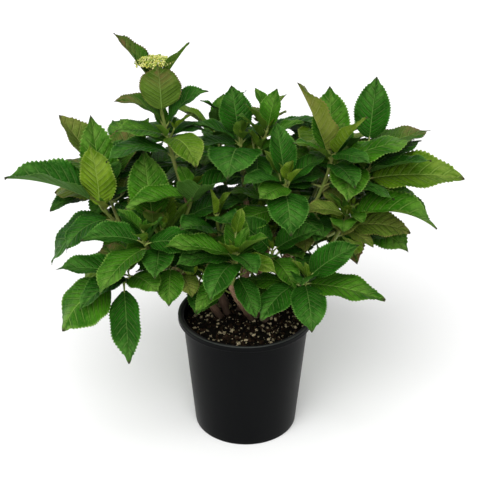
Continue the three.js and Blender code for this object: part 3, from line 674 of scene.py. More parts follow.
def limb(start, onward_path, radius, tip_radius, start_along=None):
    """A limb from its start to a gap short of the twig that it carries, in line with it."""
    onward = unit(onward_path[1] - onward_path[0])
    end = onward_path[0] - onward * GAP
    knee = end - onward * LIMB_BEND * np.linalg.norm(end - start)
    path = curve(start, knee, end, LIMB_STEPS)
    radii = np.linspace(radius, tip_radius, LIMB_STEPS + 1)
    outward = unit(knee - start)
    rings = tube(path, radii, LIMB_FACETS, outward if start_along is None else start_along, onward)
    return {
        "path": path,
        "radii": radii,
        "outward": outward,
        "bend": (start, knee, end),
        "skin": skin(rings),
    }


def grown_limbs(twigs):
    """Canes from the mix, and boughs that stand a gap clear of the side of their cane."""
    carried = {twig["mass"]["name"]: twig["path"] for twig in reversed(twigs)}
    limbs = {}
    for name, foot, radius, mass in CANES:
        start = np.array([*foot, MIX_LEVEL + GAP])
        limbs[name] = limb(start, carried[mass], radius, CANE_TIP_RADIUS, [0, 0, 1.0])
        limbs[name]["mass"] = mass
    for name, cane, at, mass in BOUGHS:
        path, radii = limbs[cane]["path"], limbs[cane]["radii"]
        index = int(at * LIMB_STEPS)
        mix = at * LIMB_STEPS - index
        on_cane = path[index] * (1 - mix) + path[index + 1] * mix
        cane_radius = radii[index] * (1 - mix) + radii[index + 1] * mix
        outward = limb(on_cane, carried[mass], BOUGH_RADIUS, BOUGH_TIP_RADIUS)["outward"]
        slant = abs(outward @ unit(path[index + 1] - path[index]))
        clear = (cane_radius + BOUGH_RADIUS * slant) / math.sqrt(1 - slant * slant)

        def bough_at(distance):
            return limb(on_cane + outward * distance, carried[mass], BOUGH_RADIUS, BOUGH_TIP_RADIUS)

        while clear > 0 and not meets(bough_at(clear - GAP - SEAT_STEP)["skin"], limbs[cane]["skin"]):
            clear -= SEAT_STEP
        limbs[name] = {**bough_at(clear), "fork": on_cane, "mass": mass}
    return limbs


def leaf_of(twig, pair, side):
    """One leaf by the rule, with its own habit on top."""
    def spread(channel, amount):
        return (chance(twig["number"], pair + 1, side + 1, channel) * 2 - 1) * amount

    named = [row for row in twig["named"] if (row["pair"], row["side"]) == (pair, side)]
    own = named[0] if named else {}
    distance = twig["distances"][pair]
    leaf = {
        "bearing": twig["bearing"] + 90 * pair + 180 * side + spread(2, BEARING_SPREAD),
        "rise": PAIR_RISES[pair] + spread(3, RISE_SPREAD),
        "length": twig["leaf"] * PAIR_SIZES[pair] * (1 + spread(1, SIZE_SPREAD)),
        "droop": PAIR_DROOPS[pair] + spread(4, DROOP_SPREAD),
        "roll": 0 if named else spread(5, ROLL_SPREAD),
        "fold": PAIR_FOLDS[pair] + spread(6, FOLD_SPREAD),
        "ratio": LEAF_RATIO + spread(7, RATIO_SPREAD),
        "pair": pair,
        "side": side,
        **own,
        "named": bool(named),
        "node": back_from_tip(twig["path"], distance),
        "mass": twig["mass"]["name"],
        "owner": twig["number"],
        "seed": (twig["number"], pair + LEAF_CHANCE, side),
    }
    leaf.setdefault("petiole", leaf["length"] * PETIOLE_SHARE + PETIOLE_BASE)
    return leaf


def inside(points, spaces):
    """Whether points all lie in one of some boxes, with a small margin."""
    return any(
        (points >= low - SPACE_MARGIN).all() and (points <= high + SPACE_MARGIN).all()
        for low, high in spaces
    )


def placed(leaf, room, swings, lifts, spaces=None):
    """Whether a leaf finds room, swung and lifted as far as allowed. It is then taken from the room."""
    bearing, rise = leaf["bearing"], leaf["rise"]
    for swing in swings:
        for lift in lifts:
            leaf["bearing"] = bearing + swing
            leaf["rise"] = rise + lift
            stalk = heading(leaf["bearing"], min(leaf["rise"] + PETIOLE_LIFT, PETIOLE_MAX_RISE))
            leaf["base"] = leaf["node"] + stalk * leaf["petiole"]
            stalk_rings, blade, tip = plain_leaf(leaf, ROOM_FACTOR)
            blade_skin = skin([stalk_rings[1], *blade], tip)
            if spaces and not inside(blade_skin, spaces) or room.blocks(blade_skin):
                continue
            stalk_skin = skin(stalk_rings)
            if not room.blocks(stalk_skin, leaf["owner"]):
                room.take(blade_skin)
                room.take(stalk_skin, leaf["owner"])
                return True
    return False


def fine_leaf(node, bearing, rise, length, seed, mass, owner):
    """A leaf of finer growth. Short ones are young and stand folded, long ones have opened and hang."""
    opened = float(smooth(OPENING_START, OPENING_END, length))

    def spread(channel, amount):
        return (chance(*seed, channel) * 2 - 1) * amount

    return {
        "bearing": bearing + spread(2, BEARING_SPREAD),
        "rise": rise + spread(3, RISE_SPREAD),
        "length": length * (1 + spread(1, SIZE_SPREAD)),
        "droop": YOUNG_DROOP + OPEN_DROOP * opened + spread(4, DROOP_SPREAD),
        "roll": opened * spread(5, ROLL_SPREAD),
        "fold": YOUNG_FOLD + OPEN_FOLD * opened + spread(6, FOLD_SPREAD),
        "ratio": YOUNG_RATIO + OPEN_RATIO * opened,
        "petiole": FINE_PETIOLE_BASE + FINE_PETIOLE_SHARE * length,
        "named": False,
        "node": node,
        "mass": mass,
        "owner": owner,
        "seed": seed,
    }


def shoot_starts(limbs, twigs, leaves):
    """Starts of side shoots: place, bearing, rise, size of leaf, seed, mass and owner of each. They
    leave the angles of leaves, and limbs at even steps in a spiral."""
    for leaf in leaves:
        twig = twigs[leaf["owner"] - 1]
        bare = HEAD_BARE_PAIRS if "flowers" in twig["mass"] else 1
        seed = (leaf["owner"], leaf["pair"] + SHOOT_CHANCE, leaf["side"])
        if leaf["pair"] >= bare and chance(*seed, 1) < AXIL_SHARE:
            rise = min(leaf["rise"] + SHOOT_LIFT, SHOOT_MAX_RISE)
            bearing = leaf["bearing"] + SHOOT_TURN
            yield leaf["node"], bearing, rise, twig["leaf"], seed, leaf["mass"], leaf["owner"]
    for index, grown in enumerate(limbs.values()):
        last = travelled(grown["path"])[-1] - LIMB_SHOOT_START
        for step, distance in enumerate(np.arange(LIMB_SHOOT_END, last, LIMB_SHOOT_PITCH)):
            seed = (LIMB_OWNER + index, step, SHOOT_CHANCE)
            place = back_from_tip(grown["path"], distance)
            rise = LIMB_SHOOT_RISE * (LIMB_SHOOT_LEAST + LIMB_SHOOT_SPREAD * chance(*seed, 1))
            bearing = GOLDEN_ANGLE * (step + LIMB_SHOOT_OFFSET * index)
            yield place, bearing, rise, LIMB_SHOOT_LEAF, seed, grown["mass"], LIMB_OWNER + index


def grown_shoots(limbs, twigs, leaves, room):
    """Growth finer than the solids, wherever it finds room within their reach: side shoots that turn
    upwards, with crossed pairs of leaves, and small upright pairs on each twig's tip."""
    boxes = [[np.array(corner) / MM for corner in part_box(mass["name"])] for mass in MASSES]
    wanted, shoots = [], []
    for start, bearing, rise, size, seed, mass, owner in shoot_starts(limbs, twigs, leaves):
        reach = SHOOT_REACH + SHOOT_REACH_SPREAD * chance(*seed, 2)
        up = heading(bearing, rise)
        knee = start + up * reach * SHOOT_KNEE
        end = start + up * reach * SHOOT_ONWARD + [0, 0, reach * SHOOT_UPTURN]
        path = curve(start, knee, end, TWIG_STEPS)
        stem = skin(tube(path, np.linspace(SHOOT_RADIUS, SHOOT_TIP_RADIUS, TWIG_STEPS + 1), TWIG_FACETS))
        if room.blocks(stem, owner):
            continue
        room.take(stem, owner)
        for step, distance in enumerate(SHOOT_DISTANCES):
            node = back_from_tip(path, distance)
            for side in (0, 1):
                turned = bearing + 90 * (step + 1) + 180 * side
                length = size * SHOOT_SIZES[step]
                leaf_seed = (seed[0], seed[1] + SHOOT_LEAF_CHANCE * step, seed[2] + side)
                leaf = fine_leaf(node, turned, SHOOT_RISES[step], length, leaf_seed, mass, owner)
                wanted.append((leaf, len(shoots)))
        shoots.append({"path": path})
    for twig in twigs:
        if "flowers" in twig["mass"]:
            continue
        mass = twig["mass"]["name"]
        for step, (share, rise) in enumerate(zip(TIP_SIZES, TIP_RISES)):
            for side in (0, 1):
                bearing = twig["bearing"] + 90 * (step + 1) + 180 * side
                length = twig["leaf"] * share
                seed = (twig["number"], TIP_CHANCE + step, side)
                leaf = fine_leaf(twig["path"][-1], bearing, rise, length, seed, mass, twig["number"])
                wanted.append((leaf, None))
    wanted.sort(key=lambda row: -row[0]["length"])
    found = [row for row in wanted if placed(row[0], room, SHOOT_SWINGS, (0,), boxes)]
    leafy = {shoot for _, shoot in found}
    return [leaf for leaf, _ in found], [shoot for number, shoot in enumerate(shoots) if number in leafy]


@cache
def growth():
    """The whole plant: its limbs, twigs, leaves, and the finer shoots and leaves."""
    twigs = grown_twigs()
    limbs = grown_limbs(twigs)
    room = Room()
    drum_radius = POT_RIM_RADIUS + POT_ROOM
    drum = tube([(0, 0, 0), (0, 0, POT_HEIGHT + POT_ROOM)], [drum_radius] * 2, DRUM_FACETS)
    room.take(skin(drum))
    for index, grown in enumerate(limbs.values()):
        room.take(grown["skin"], LIMB_OWNER + index)
    for twig in twigs:
        room.take(twig["skin"], twig["number"])
    wanted = [
        leaf_of(twig, pair, side)
        for twig in twigs for pair in range(twig["pairs"]) for side in (0, 1)
    ]
    wanted.sort(key=lambda leaf: not leaf["named"])
    leaves = [leaf for leaf in wanted if leaf["node"] is not None and placed(leaf, room, SWINGS, LIFTS)]
    small, shoots = grown_shoots(limbs, twigs, leaves, room)
    return {"limbs": limbs, "twigs": twigs, "leaves": leaves, "small": small, "shoots": shoots}


class Shell:
    """Closed skins over stacks of rings, gathered into one mesh.

    A stack is n rings of m points, which run anticlockwise about the way that the stack goes.
    Neighbouring rings are joined by four-cornered faces, and one face closes each end. Every corner
    has a place in the pattern of its finish and one on a sheet that is shared out in cells.
    """

    def __init__(self):
        self.count = 0
        self.points, self.ages, self.margins = [], [], []
        self.quads, self.quad_pattern, self.quad_sheet, self.quad_finish = [], [], [], []
        self.caps, self.cap_pattern, self.cap_sheet, self.cap_finish = [], [], [], []

    def add(self, rings, around, along, cell, finish=0, age=0.0, margins=()):
        """Adds a stack. around has m + 1 pattern places and along n; cell is (column, row, columns,
        rows) on the sheet; finish is one number or m; age is one number or n; margins are the
        columns whose edge stays sharp."""
        n, m = rings.shape[:2]
        row, column = np.meshgrid(np.arange(n - 1), np.arange(m), indexing="ij")
        near = np.stack([column, column + 1, column + 1, column], -1)
        far = np.stack([row, row, row + 1, row + 1], -1)
        around, along = np.asarray(around, float), np.asarray(along, float)
        self.quads.append((self.count + far * m + near % m).reshape(-1, 4))
        self.quad_pattern.append(np.stack([around[near], along[far]], -1).reshape(-1, 2))
        up = (along - along[0]) / (along[-1] - along[0])
        self.quad_sheet.append(self.on_sheet(near / m, up[far], cell).reshape(-1, 2))
        self.quad_finish.append(np.broadcast_to(finish, (n - 1, m)).ravel())
        for ring, turn in ((0, np.arange(m)[::-1]), (n - 1, np.arange(m))):
            self.caps.append(self.count + ring * m + turn)
            self.cap_pattern.append(np.stack([around[turn], np.full(m, along[ring])], -1))
            self.cap_sheet.append(self.on_sheet(turn / m, np.full(m, ring / (n - 1)), cell))
            self.cap_finish.append(np.ravel(finish)[0])
        flags = np.zeros((n, m), int)
        for number, margin in enumerate(margins):
            flags[:, margin] = number + 1
        self.margins.append(flags.ravel())
        self.ages.append(np.broadcast_to(np.reshape(age, (-1, 1)), (n, m)).ravel())
        self.points.append(rings.reshape(-1, 3))
        self.count += n * m

    @staticmethod
    def on_sheet(across, up, cell, pad=0.04):
        """Places in a cell of the sheet, kept off its edges."""
        column, row, columns, rows = cell
        spread = 1 - 2 * pad
        x = (column + pad + spread * across) / columns
        y = (row + pad + spread * up) / rows
        return np.stack([x, y], -1)

    def write(self, name, finishes, slot, replaced=()):
        """Makes the mesh, hides the solids that it stands for, and lets it ride on the plant."""
        mesh = bpy.data.meshes.new(name)
        points = np.concatenate(self.points) * MM
        quads = np.concatenate(self.quads)
        corners = np.concatenate([quads.ravel(), *self.caps])
        sizes = np.array([4] * len(quads) + [len(cap) for cap in self.caps])
        mesh.vertices.add(len(points))
        mesh.vertices.foreach_set("co", points.ravel())
        mesh.loops.add(len(corners))
        mesh.loops.foreach_set("vertex_index", corners)
        mesh.polygons.add(len(sizes))
        mesh.polygons.foreach_set("loop_start", np.cumsum(sizes) - sizes)
        mesh.polygons.foreach_set("material_index", np.concatenate([*self.quad_finish, self.cap_finish]))
        mesh.update(calc_edges=True)
        for layer, quad_places, cap_places in (
            ("pattern", self.quad_pattern, self.cap_pattern),
            ("OFBake", self.quad_sheet, self.cap_sheet),
        ):
            places = np.concatenate([*quad_places, *cap_places])
            mesh.uv_layers.new(name=layer).data.foreach_set("uv", places.ravel())
        age = mesh.attributes.new("age", "FLOAT", "POINT")
        age.data.foreach_set("value", np.concatenate(self.ages))
        mesh.shade_smooth()
        ends = np.zeros(len(mesh.edges) * 2, int)
        mesh.edges.foreach_get("vertices", ends)
        flags = np.concatenate(self.margins)[ends.reshape(-1, 2)]
        sharp = (flags[:, 0] > 0) & (flags[:, 0] == flags[:, 1])
        mesh.edges.foreach_set("use_edge_sharp", sharp)
        for finish in finishes:
            mesh.materials.append(finish)
        piece = bpy.data.objects.new(name, mesh)
        bpy.context.scene.collection.objects.link(piece)
        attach(piece, BODY)
        if replaced:
            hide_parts(*replaced)
        return piece


def cells(count, aspect=1.0):
    """Cells of a sheet shared out among so many stacks, each about aspect times as wide as high."""
    columns = max(1, math.ceil(math.sqrt(count / aspect)))
    rows = math.ceil(count / columns)
    return [(index % columns, index // columns, columns, rows) for index in range(count)]


class Value:
    """A number, colour or vector on its way through a finish. Arithmetic adds Math nodes."""

    def __init__(self, finish, socket):
        self.finish = finish
        self.socket = socket

    def __add__(self, other):
        return self.finish.math("ADD", self, other)

    def __sub__(self, other):
        return self.finish.math("SUBTRACT", self, other)

    def __rsub__(self, other):
        return self.finish.math("SUBTRACT", other, self)

    def __mul__(self, other):
        return self.finish.math("MULTIPLY", self, other)

    def __truediv__(self, other):
        return self.finish.math("DIVIDE", self, other)

    __radd__ = __add__
    __rmul__ = __mul__

    def fraction(self):
        return self.finish.math("FRACT", self, 0)

    def size(self):
        return self.finish.math("ABSOLUTE", self, 0)

    def between(self, low, high):
        """0 below low, 1 above high, and smooth between."""
        return self.finish.node(
            "ShaderNodeMapRange", {"interpolation_type": "SMOOTHSTEP"}, {0: self, 1: low, 2: high})


class Finish:
    """A material under construction."""

    def __init__(self, name):
        self.material = bpy.data.materials.new(name)
        self.material.use_nodes = True
        self.tree = self.material.node_tree
        self.tree.nodes.clear()

    def node(self, kind, settings, sockets, output=0):
        """Adds a node: its settings first, then the values or links of its sockets. Gives one output,
        or a list of them."""
        node = self.tree.nodes.new(kind)
        for key, value in settings.items():
            setattr(node, key, value)
        for key, value in sockets.items():
            if isinstance(value, Value):
                self.tree.links.new(value.socket, node.inputs[key])
            else:
                node.inputs[key].default_value = value
        if isinstance(output, list):
            return [Value(self, node.outputs[each]) for each in output]
        return Value(self, node.outputs[output])

    def math(self, operation, first, second):
        return self.node("ShaderNodeMath", {"operation": operation}, {0: first, 1: second})

    def mix(self, factor, first, second):
        """First colour where factor is 0 and second where it is 1. The node keeps its colours on
        sockets 6 and 7, and gives theirs on output 2."""
        sockets = {0: factor, 6: first, 7: second}
        return self.node("ShaderNodeMix", {"data_type": "RGBA"}, sockets, 2)

    def vector(self, x, y, z=0.0):
        return self.node("ShaderNodeCombineXYZ", {}, {0: x, 1: y, 2: z})

    def noise(self, place, scale, detail=2.0):
        sockets = {"Vector": place, "Scale": scale, "Detail": detail}
        return self.node("ShaderNodeTexNoise", {}, sockets)

    def cell_edge(self, place, scale):
        """Distance from the nearest border between cells."""
        settings = {"feature": "DISTANCE_TO_EDGE"}
        return self.node("ShaderNodeTexVoronoi", settings, {"Vector": place, "Scale": scale})

    def pattern(self):
        """The two pattern places of a point."""
        place = self.node("ShaderNodeUVMap", {"uv_map": "pattern"}, {})
        return self.node("ShaderNodeSeparateXYZ", {}, {0: place}, [0, 1])

    def place(self):
        """A point's place on the object, in metres."""
        return self.node("ShaderNodeTexCoord", {}, {}, 3)

    def bump(self, height, distance, strength):
        sockets = {"Height": height, "Distance": distance, "Strength": strength}
        return self.node("ShaderNodeBump", {}, sockets)

    def surface(self, **sockets):
        """Ends the finish in one shader, with its sockets in plain words."""
        named = {
            key.replace("_", " ").title().replace("Ior", "IOR"): value
            for key, value in sockets.items()
        }
        shader = self.node("ShaderNodeBsdfPrincipled", {}, named)
        self.node("ShaderNodeOutputMaterial", {}, {0: shader}, [])
        return self.material


def paint(code):
    """Linear colour for a code such as #2f6d24: ((c + 0.055) / 1.055)^2.4, or c / 12.92 near black."""
    parts = [int(code[place:place + 2], 16) / 255 for place in (1, 3, 5)]
    return tuple(((c + 0.055) / 1.055) ** 2.4 if c > 0.04045 else c / 12.92 for c in parts)


def opaque(colour):
    return (*colour, 1.0)


# Leaf pattern: side veins in a row, those of one half standing between those of the other
PATTERN_SPAN = 0.48
VEINS = 12
VEIN_STAGGER = 0.5
VEIN_CURVE = 1.25

# Tints of the leaves: two greens of the upper face, two of the underside, veins, margin, and the dark green
# of the painted shade in the creases
TINTS = {
    "deep": ("#0e3a04", "#1e580b", "#33581a", "#4a7230", "#6f9648", "#5f8a3c", "#062402"),
    "green": ("#1e5005", "#3a700e", "#456819", "#5e8226", "#86aa4e", "#7c9c48", "#0d3302"),
    "young": ("#355a06", "#527210", "#4a6c0c", "#6d8a1e", "#98b454", "#94a452", "#274a04"),
    "bronze": ("#435c18", "#5f7628", "#5c6e20", "#7c8838", "#a0a65c", "#867648", "#2f420c"),
    "flushed": ("#264f0c", "#3e6716", "#435f19", "#5b7628", "#86a652", "#7d5643", "#173a06"),
}
TINT_NAMES = list(TINTS)
TIP_COLOUR = "#3e332c"

# Marks of a leaf, from where they are full to where they end: the midrib and the margin in shares of
# the half-width, veins and creases in shares of the way to the next vein, the net in its own cells,
# and the flush and the dusky tip in shares of the length
MIDRIB_MARK = (0.008, 0.036)
MARGIN_MARK = (0.93, 0.99)
VEIN_MARK = (0.02, 0.09)
CREASE_MARK = (0.02, 0.26)
NET_MARK = (0.0, 0.07)
FLUSH_MARK = (0.5, 1.05)
TIP_MARK = (0.95, 0.995)

# How strongly each mark shows on the upper face and on the underside
MIDRIB_STRENGTH = (0.6, 0.7)
VEIN_STRENGTH = (0.34, 0.5)
CREASE_SHADE_STRENGTH = (0.5, 0.3)
# Painted shade: how far the creases beside the side veins are darkened, above and below
NET_STRENGTH = (0.12, 0.2)
MARGIN_STRENGTH = 0.6
TIP_STRENGTH = 0.85
FLUSH_STRENGTH = 0.5
FLUSHED_STRENGTH = 0.85

# Reliefs of the finishes, in metres
LEAF_RELIEF = 0.0011
BARK_RELIEF = 0.0012
PLASTIC_RELIEF = 0.0002
CRUMB_RELIEF = 0.0016


def leaf_finish(name, tint, under, look):
    """A face of a leaf. Two greens drift along it, with painted shade in the creases beside the side
    veins; the midrib, side veins and a fine net are paler, the thin margin takes its own tint, which
    also flushes the far part, and the drip tip is dusky. Veins are sunk above and stand out below."""
    # The last tint, shade, is the dark green of the painted shade in the creases
    deep, light, under_deep, under_light, vein, rim, shade = (opaque(paint(code)) for code in TINTS[tint])
    if under:
        deep, light = under_deep, under_light
    finish = Finish(name)
    place, along = finish.pattern()
    across = (place.fraction() - 0.5) / PATTERN_SPAN
    reach = across.size()
    side = finish.math("GREATER_THAN", across, 0)
    midrib_line = 1 - reach.between(*MIDRIB_MARK)
    turn = (along * VEINS + side * VEIN_STAGGER).fraction()
    beside = 0.5 - (turn - 0.5).size()
    inner = 1 - reach.between(0.5, 1.0)
    side_line = (1 - beside.between(*VEIN_MARK)) * inner
    crease = (1 - beside.between(*CREASE_MARK)) * (0.35 + inner * 0.65)
    veins = finish.math("MAXIMUM", midrib_line, side_line * 0.75)
    pucker = finish.cell_edge(finish.vector(place * 9, along * 17), 1.6)
    net = 1 - pucker.between(*NET_MARK)
    drift = finish.noise(finish.vector(place * 1.7, along * 2.4), 1.5, 4)
    fine = finish.noise(finish.vector(place * 8, along * 12), 2.0, 3)
    green = finish.mix((drift + (fine - 0.5) * 0.25).between(0.26, 0.74), deep, light)
    flush = FLUSHED_STRENGTH if tint == "flushed" else FLUSH_STRENGTH
    green = finish.mix(along.between(*FLUSH_MARK) * drift.between(0.35, 0.65) * flush, green, rim)
    # Painted shade: the creases beside the side veins are darkened towards the shade green
    green = finish.mix(crease * CREASE_SHADE_STRENGTH[under], green, shade)
    green = finish.mix(net * NET_STRENGTH[under], green, vein)
    green = finish.mix(side_line * VEIN_STRENGTH[under], green, vein)
    green = finish.mix(midrib_line * MIDRIB_STRENGTH[under], green, vein)
    green = finish.mix(reach.between(*MARGIN_MARK) * MARGIN_STRENGTH, green, rim)
    green = finish.mix(along.between(*TIP_MARK) * TIP_STRENGTH, green, opaque(paint(TIP_COLOUR)))
    if under:
        height = veins + net * 0.3
    else:
        height = pucker.between(0.0, 0.3) * 0.6 - crease * 0.7 - veins * 0.6
    rough = (look.under_roughness if under else look.roughness) + fine * 0.2 - 0.1
    return finish.surface(
        base_color=green,
        roughness=rough,
        normal=finish.bump(height, LEAF_RELIEF, 0.8),
        specular_ior_level=look.gloss * (0.5 if under else 1),
        specular_tint=opaque(look.gloss_tone),
    )


def stem_finish(name, old, pale, young, dark, rough):
    """Bark, dusky where it is oldest and green where it is young: long fibres, small pale pores and
    blotches."""
    finish = Finish(name)
    turn, along = finish.pattern()
    angle = turn * (2 * math.pi)
    round_x = finish.math("COSINE", angle, 0)
    round_y = finish.math("SINE", angle, 0)
    fibre = finish.noise(finish.vector(round_x * 1.6, round_y * 1.6, along * 0.22), 3.2, 5)
    blotch = finish.noise(finish.vector(round_x, round_y, along * 0.5), 1.3, 3)
    pore = finish.noise(finish.vector(round_x * 2, round_y * 2, along * 1.4), 3.4, 1)
    age = finish.node("ShaderNodeAttribute", {"attribute_name": "age"}, {}, 2)
    bark = finish.mix(fibre.between(0.38, 0.62), opaque(paint(old)), opaque(paint(pale)))
    skin_tone = finish.mix(blotch.between(0.4, 0.7) * 0.5, opaque(paint(young)), opaque(paint(old)))
    tone = finish.mix((age + blotch * 0.4 - 0.2).between(0.35, 0.75), bark, skin_tone)
    tone = finish.mix(pore.between(0.64, 0.72) * 0.6, tone, opaque(paint(pale)))
    tone = finish.mix((1 - fibre.between(0.28, 0.4)) * 0.6, tone, opaque(paint(dark)))
    tone = finish.mix((1 - age.between(0.0, 0.24)) * 0.9, tone, opaque(paint(dark)))
    return finish.surface(
        base_color=tone,
        roughness=rough + blotch * 0.2 - 0.1,
        normal=finish.bump(fibre + pore * 0.3, BARK_RELIEF, 0.6),
    )


# Heights in metres between which the top of the pot's lip is painted paler, as a painted highlight
LIP_HIGHLIGHT_FOOT = (POT_HEIGHT - 0.9) * MM
LIP_HIGHLIGHT_TOP = (POT_HEIGHT - 0.1) * MM


def plastic_finish(name, colour, look):
    """Moulded black plastic: faint streaks, partly flow marks and partly painted sheen, a little dust, a
    fine grain, and a painted highlight on the lip.
    """
    finish = Finish(name)
    x, y, z = finish.node("ShaderNodeSeparateXYZ", {}, {0: finish.place()}, [0, 1, 2])
    streak = finish.noise(finish.vector(x * 30, y * 30, z * 6), 1.0, 4)
    grain = finish.noise(finish.vector(x, y, z), 900, 2)
    dust = finish.noise(finish.vector(x * 9, y * 9, z * 14), 1.0, 5)
    # Streaks: faint vertical bands, partly flow marks and partly painted sheen
    tone = finish.mix(streak.between(0.3, 0.75) * 0.5, opaque(colour), opaque(look.flow_and_sheen_tone))
    tone = finish.mix(dust.between(0.58, 0.8) * 0.25, tone, opaque(look.dust))
    # Painted highlight: the top of the lip is painted paler, as if it caught the light
    lip = z.between(LIP_HIGHLIGHT_FOOT, LIP_HIGHLIGHT_TOP) * (0.5 + streak * 0.5)
    tone = finish.mix(lip, tone, opaque(look.lip_highlight))
    return finish.surface(
        base_color=tone,
        roughness=look.roughness + dust * 0.2 - 0.1,
        normal=finish.bump(grain + streak * 0.6, PLASTIC_RELIEF, 0.35),
        specular_ior_level=look.gloss,
    )


def crumb_finish(name, deep, light, rough, scale):
    """Crumbly ground: two tones in fine clumps."""
    finish = Finish(name)
    place = finish.place()
    clump = finish.noise(place, scale, 6)
    fine = finish.noise(place, scale * 4, 3)
    tone = finish.mix(clump.between(0.38, 0.66), opaque(deep), opaque(light))
    return finish.surface(
        base_color=tone,
        roughness=rough + fine * 0.1,
        normal=finish.bump(clump + fine * 0.5, CRUMB_RELIEF, 0.8),
        specular_ior_level=0.1,
    )


def bud_finish(name, deep, light):
    """Waxy bud: one green with paler patches by fine drift."""
    finish = Finish(name)
    drift = finish.noise(finish.place(), 420, 2)
    tone = finish.mix(drift.between(0.35, 0.65), opaque(deep), opaque(light))
    return finish.surface(base_color=tone, roughness=0.45 + drift * 0.1)


# Settings that many looks share
SHARE = {"min": 0, "max": 1, "subtype": "FACTOR"}
COLOUR = {"min": 0, "max": 1, "subtype": "COLOR"}


class LeafLook(bpy.types.PropertyGroup):
    """Leaf blades."""
    breadth: FloatProperty(
        name="Breadth", description="Breadth of a blade against its solid's",
        default=1.04, min=0.5, max=1.5)
    thickness: FloatProperty(
        name="Thickness", description="Thickness of a blade, in mm", default=0.5, min=0.1)
    rib: FloatProperty(
        name="Midrib", description="Height of the midrib under the blade, in mm", default=1.2, min=0)
    quilt: FloatProperty(
        name="Quilting", description="Rise of the blade between side veins, in mm", default=1.5, min=0)
    wave: FloatProperty(
        name="Wave", description="Height of the margin's waves, in mm", default=2.2, min=0)
    tooth: FloatProperty(
        name="Tooth depth", description="Depth of a margin tooth as a share of leaf length",
        default=0.024, **SHARE)
    teeth: IntProperty(
        name="Teeth", description="Teeth of a margin for each side vein of a large blade", default=2, min=1)
    roughness: FloatProperty(
        name="Upper roughness", description="Roughness of the upper face", default=0.44, **SHARE)
    under_roughness: FloatProperty(
        name="Lower roughness", description="Roughness of the underside", default=0.62, **SHARE)
    gloss: FloatProperty(
        name="Gloss", description="Strength of the blade's reflections", default=0.12, **SHARE)
    gloss_tone: FloatVectorProperty(
        name="Gloss colour", description="Colour of the blade's reflections",
        default=(0.6, 1.0, 0.35), **COLOUR)


class StemLook(bpy.types.PropertyGroup):
    """Canes, boughs, twigs and leaf stalks."""
    joint_pitch: FloatProperty(
        name="Joint pitch", description="Distance between joints of a cane, in mm", default=44, min=5)
    joint_swell: FloatProperty(
        name="Joint swell", description="Swelling at a joint, as a share of radius", default=0.2, **SHARE)
    ridge: FloatProperty(
        name="Ridges", description="Height of bark ridges, as a share of radius", default=0.045, **SHARE)
    step: FloatProperty(
        name="Ring step", description="Distance between rings along a stem, in mm", default=3.5, min=0.5)


class HeadLook(bpy.types.PropertyGroup):
    """Young flower head."""
    buds: IntProperty(name="Buds", description="Number of flower buds", default=330, min=10)
    bud_radius: FloatProperty(
        name="Bud radius", description="Radius of a bud, in mm", default=1.35, min=0.2)
    rays: IntProperty(name="Rays", description="Number of main rays", default=9, min=3)


class PotLook(bpy.types.PropertyGroup):
    """Nursery pot."""
    wall: FloatProperty(name="Wall", description="Thickness of the wall, in mm", default=1.8, min=0.5)
    floor: FloatProperty(name="Floor", description="Thickness of the floor, in mm", default=2.6, min=1)
    band: FloatProperty(
        name="Rim band", description="Height of the band under the rim, in mm", default=9, min=2)
    body_top: FloatProperty(
        name="Body top radius", description="Radius of the body under the band, in mm",
        default=105.8, min=50)
    foot: FloatProperty(name="Foot radius", description="Radius of the foot, in mm", default=87.4, min=40)
    sectors: IntProperty(name="Sectors", description="Faces round the pot", default=144, min=24)
    colour: FloatVectorProperty(
        name="Colour", description="Colour of the plastic", default=paint("#070809"), **COLOUR)
    # Streak colour: flow marks, and painted sheen in faint vertical bands
    flow_and_sheen_tone: FloatVectorProperty(
        name="Streak colour", description="Colour of faint flow streaks",
        default=paint("#0b0c0d"), **COLOUR)
    dust: FloatVectorProperty(
        name="Dust colour", description="Colour of dust on the wall", default=paint("#161615"), **COLOUR)
    # Painted highlight: the lip colour paints the top of the rim paler where it would catch the light
    lip_highlight: FloatVectorProperty(
        name="Lip colour", description="Colour of the worn lip", default=paint("#4c4f4d"), **COLOUR)
    roughness: FloatProperty(
        name="Roughness", description="Roughness of the plastic", default=0.38, **SHARE)
    gloss: FloatProperty(
        name="Gloss", description="Strength of the plastic's reflections", default=0.05, **SHARE)


class MixLook(bpy.types.PropertyGroup):
    """Potting mix."""
    bumps: FloatProperty(
        name="Bumps", description="Height of the bumps of the surface, in mm", default=2.4, min=0)
    chips: IntProperty(name="Bark chips", description="Number of bark chips", default=800, min=0)
    grains: IntProperty(
        name="White grains", description="Number of pale mineral grains", default=620, min=0)
    peat: FloatVectorProperty(
        name="Peat", description="Colour of the dark peat", default=paint("#0a0806"), **COLOUR)
    bark: FloatVectorProperty(
        name="Bark", description="Colour of the bark chips", default=paint("#20160e"), **COLOUR)
    mineral: FloatVectorProperty(
        name="Mineral", description="Colour of the pale grains", default=paint("#cdbd9a"), **COLOUR)


class StageLook(bpy.types.PropertyGroup):
    """Floor, light and camera."""
    floor_half: FloatProperty(
        name="Floor half-width", description="Half the width of the floor", default=40.0, unit="LENGTH")
    floor_tone: FloatVectorProperty(
        name="Floor", description="Colour of the floor", default=(0.96, 0.96, 0.96), **COLOUR)
    key: FloatProperty(name="Key light", description="Strength of the soft light from above", default=3.0)
    key_spread: FloatProperty(
        name="Key spread", description="Angle over which the key light is spread",
        default=math.radians(56), subtype="ANGLE")
    sky: FloatProperty(name="Sky", description="Strength of the even light from all round", default=0.56)


# Drip tip of a blade: share of its length, and its breadth as a share of the blade's
DRIP_TIP = 0.075
DRIP_BREADTH = 0.2

# Length of a typical leaf, the lengths above which a blade is large or middling, and the steps that
# its midrib takes
TYPICAL_LENGTH = 110
LARGE_LENGTH = 62
MIDDLE_LENGTH = 32
BLADE_SAMPLES = 40

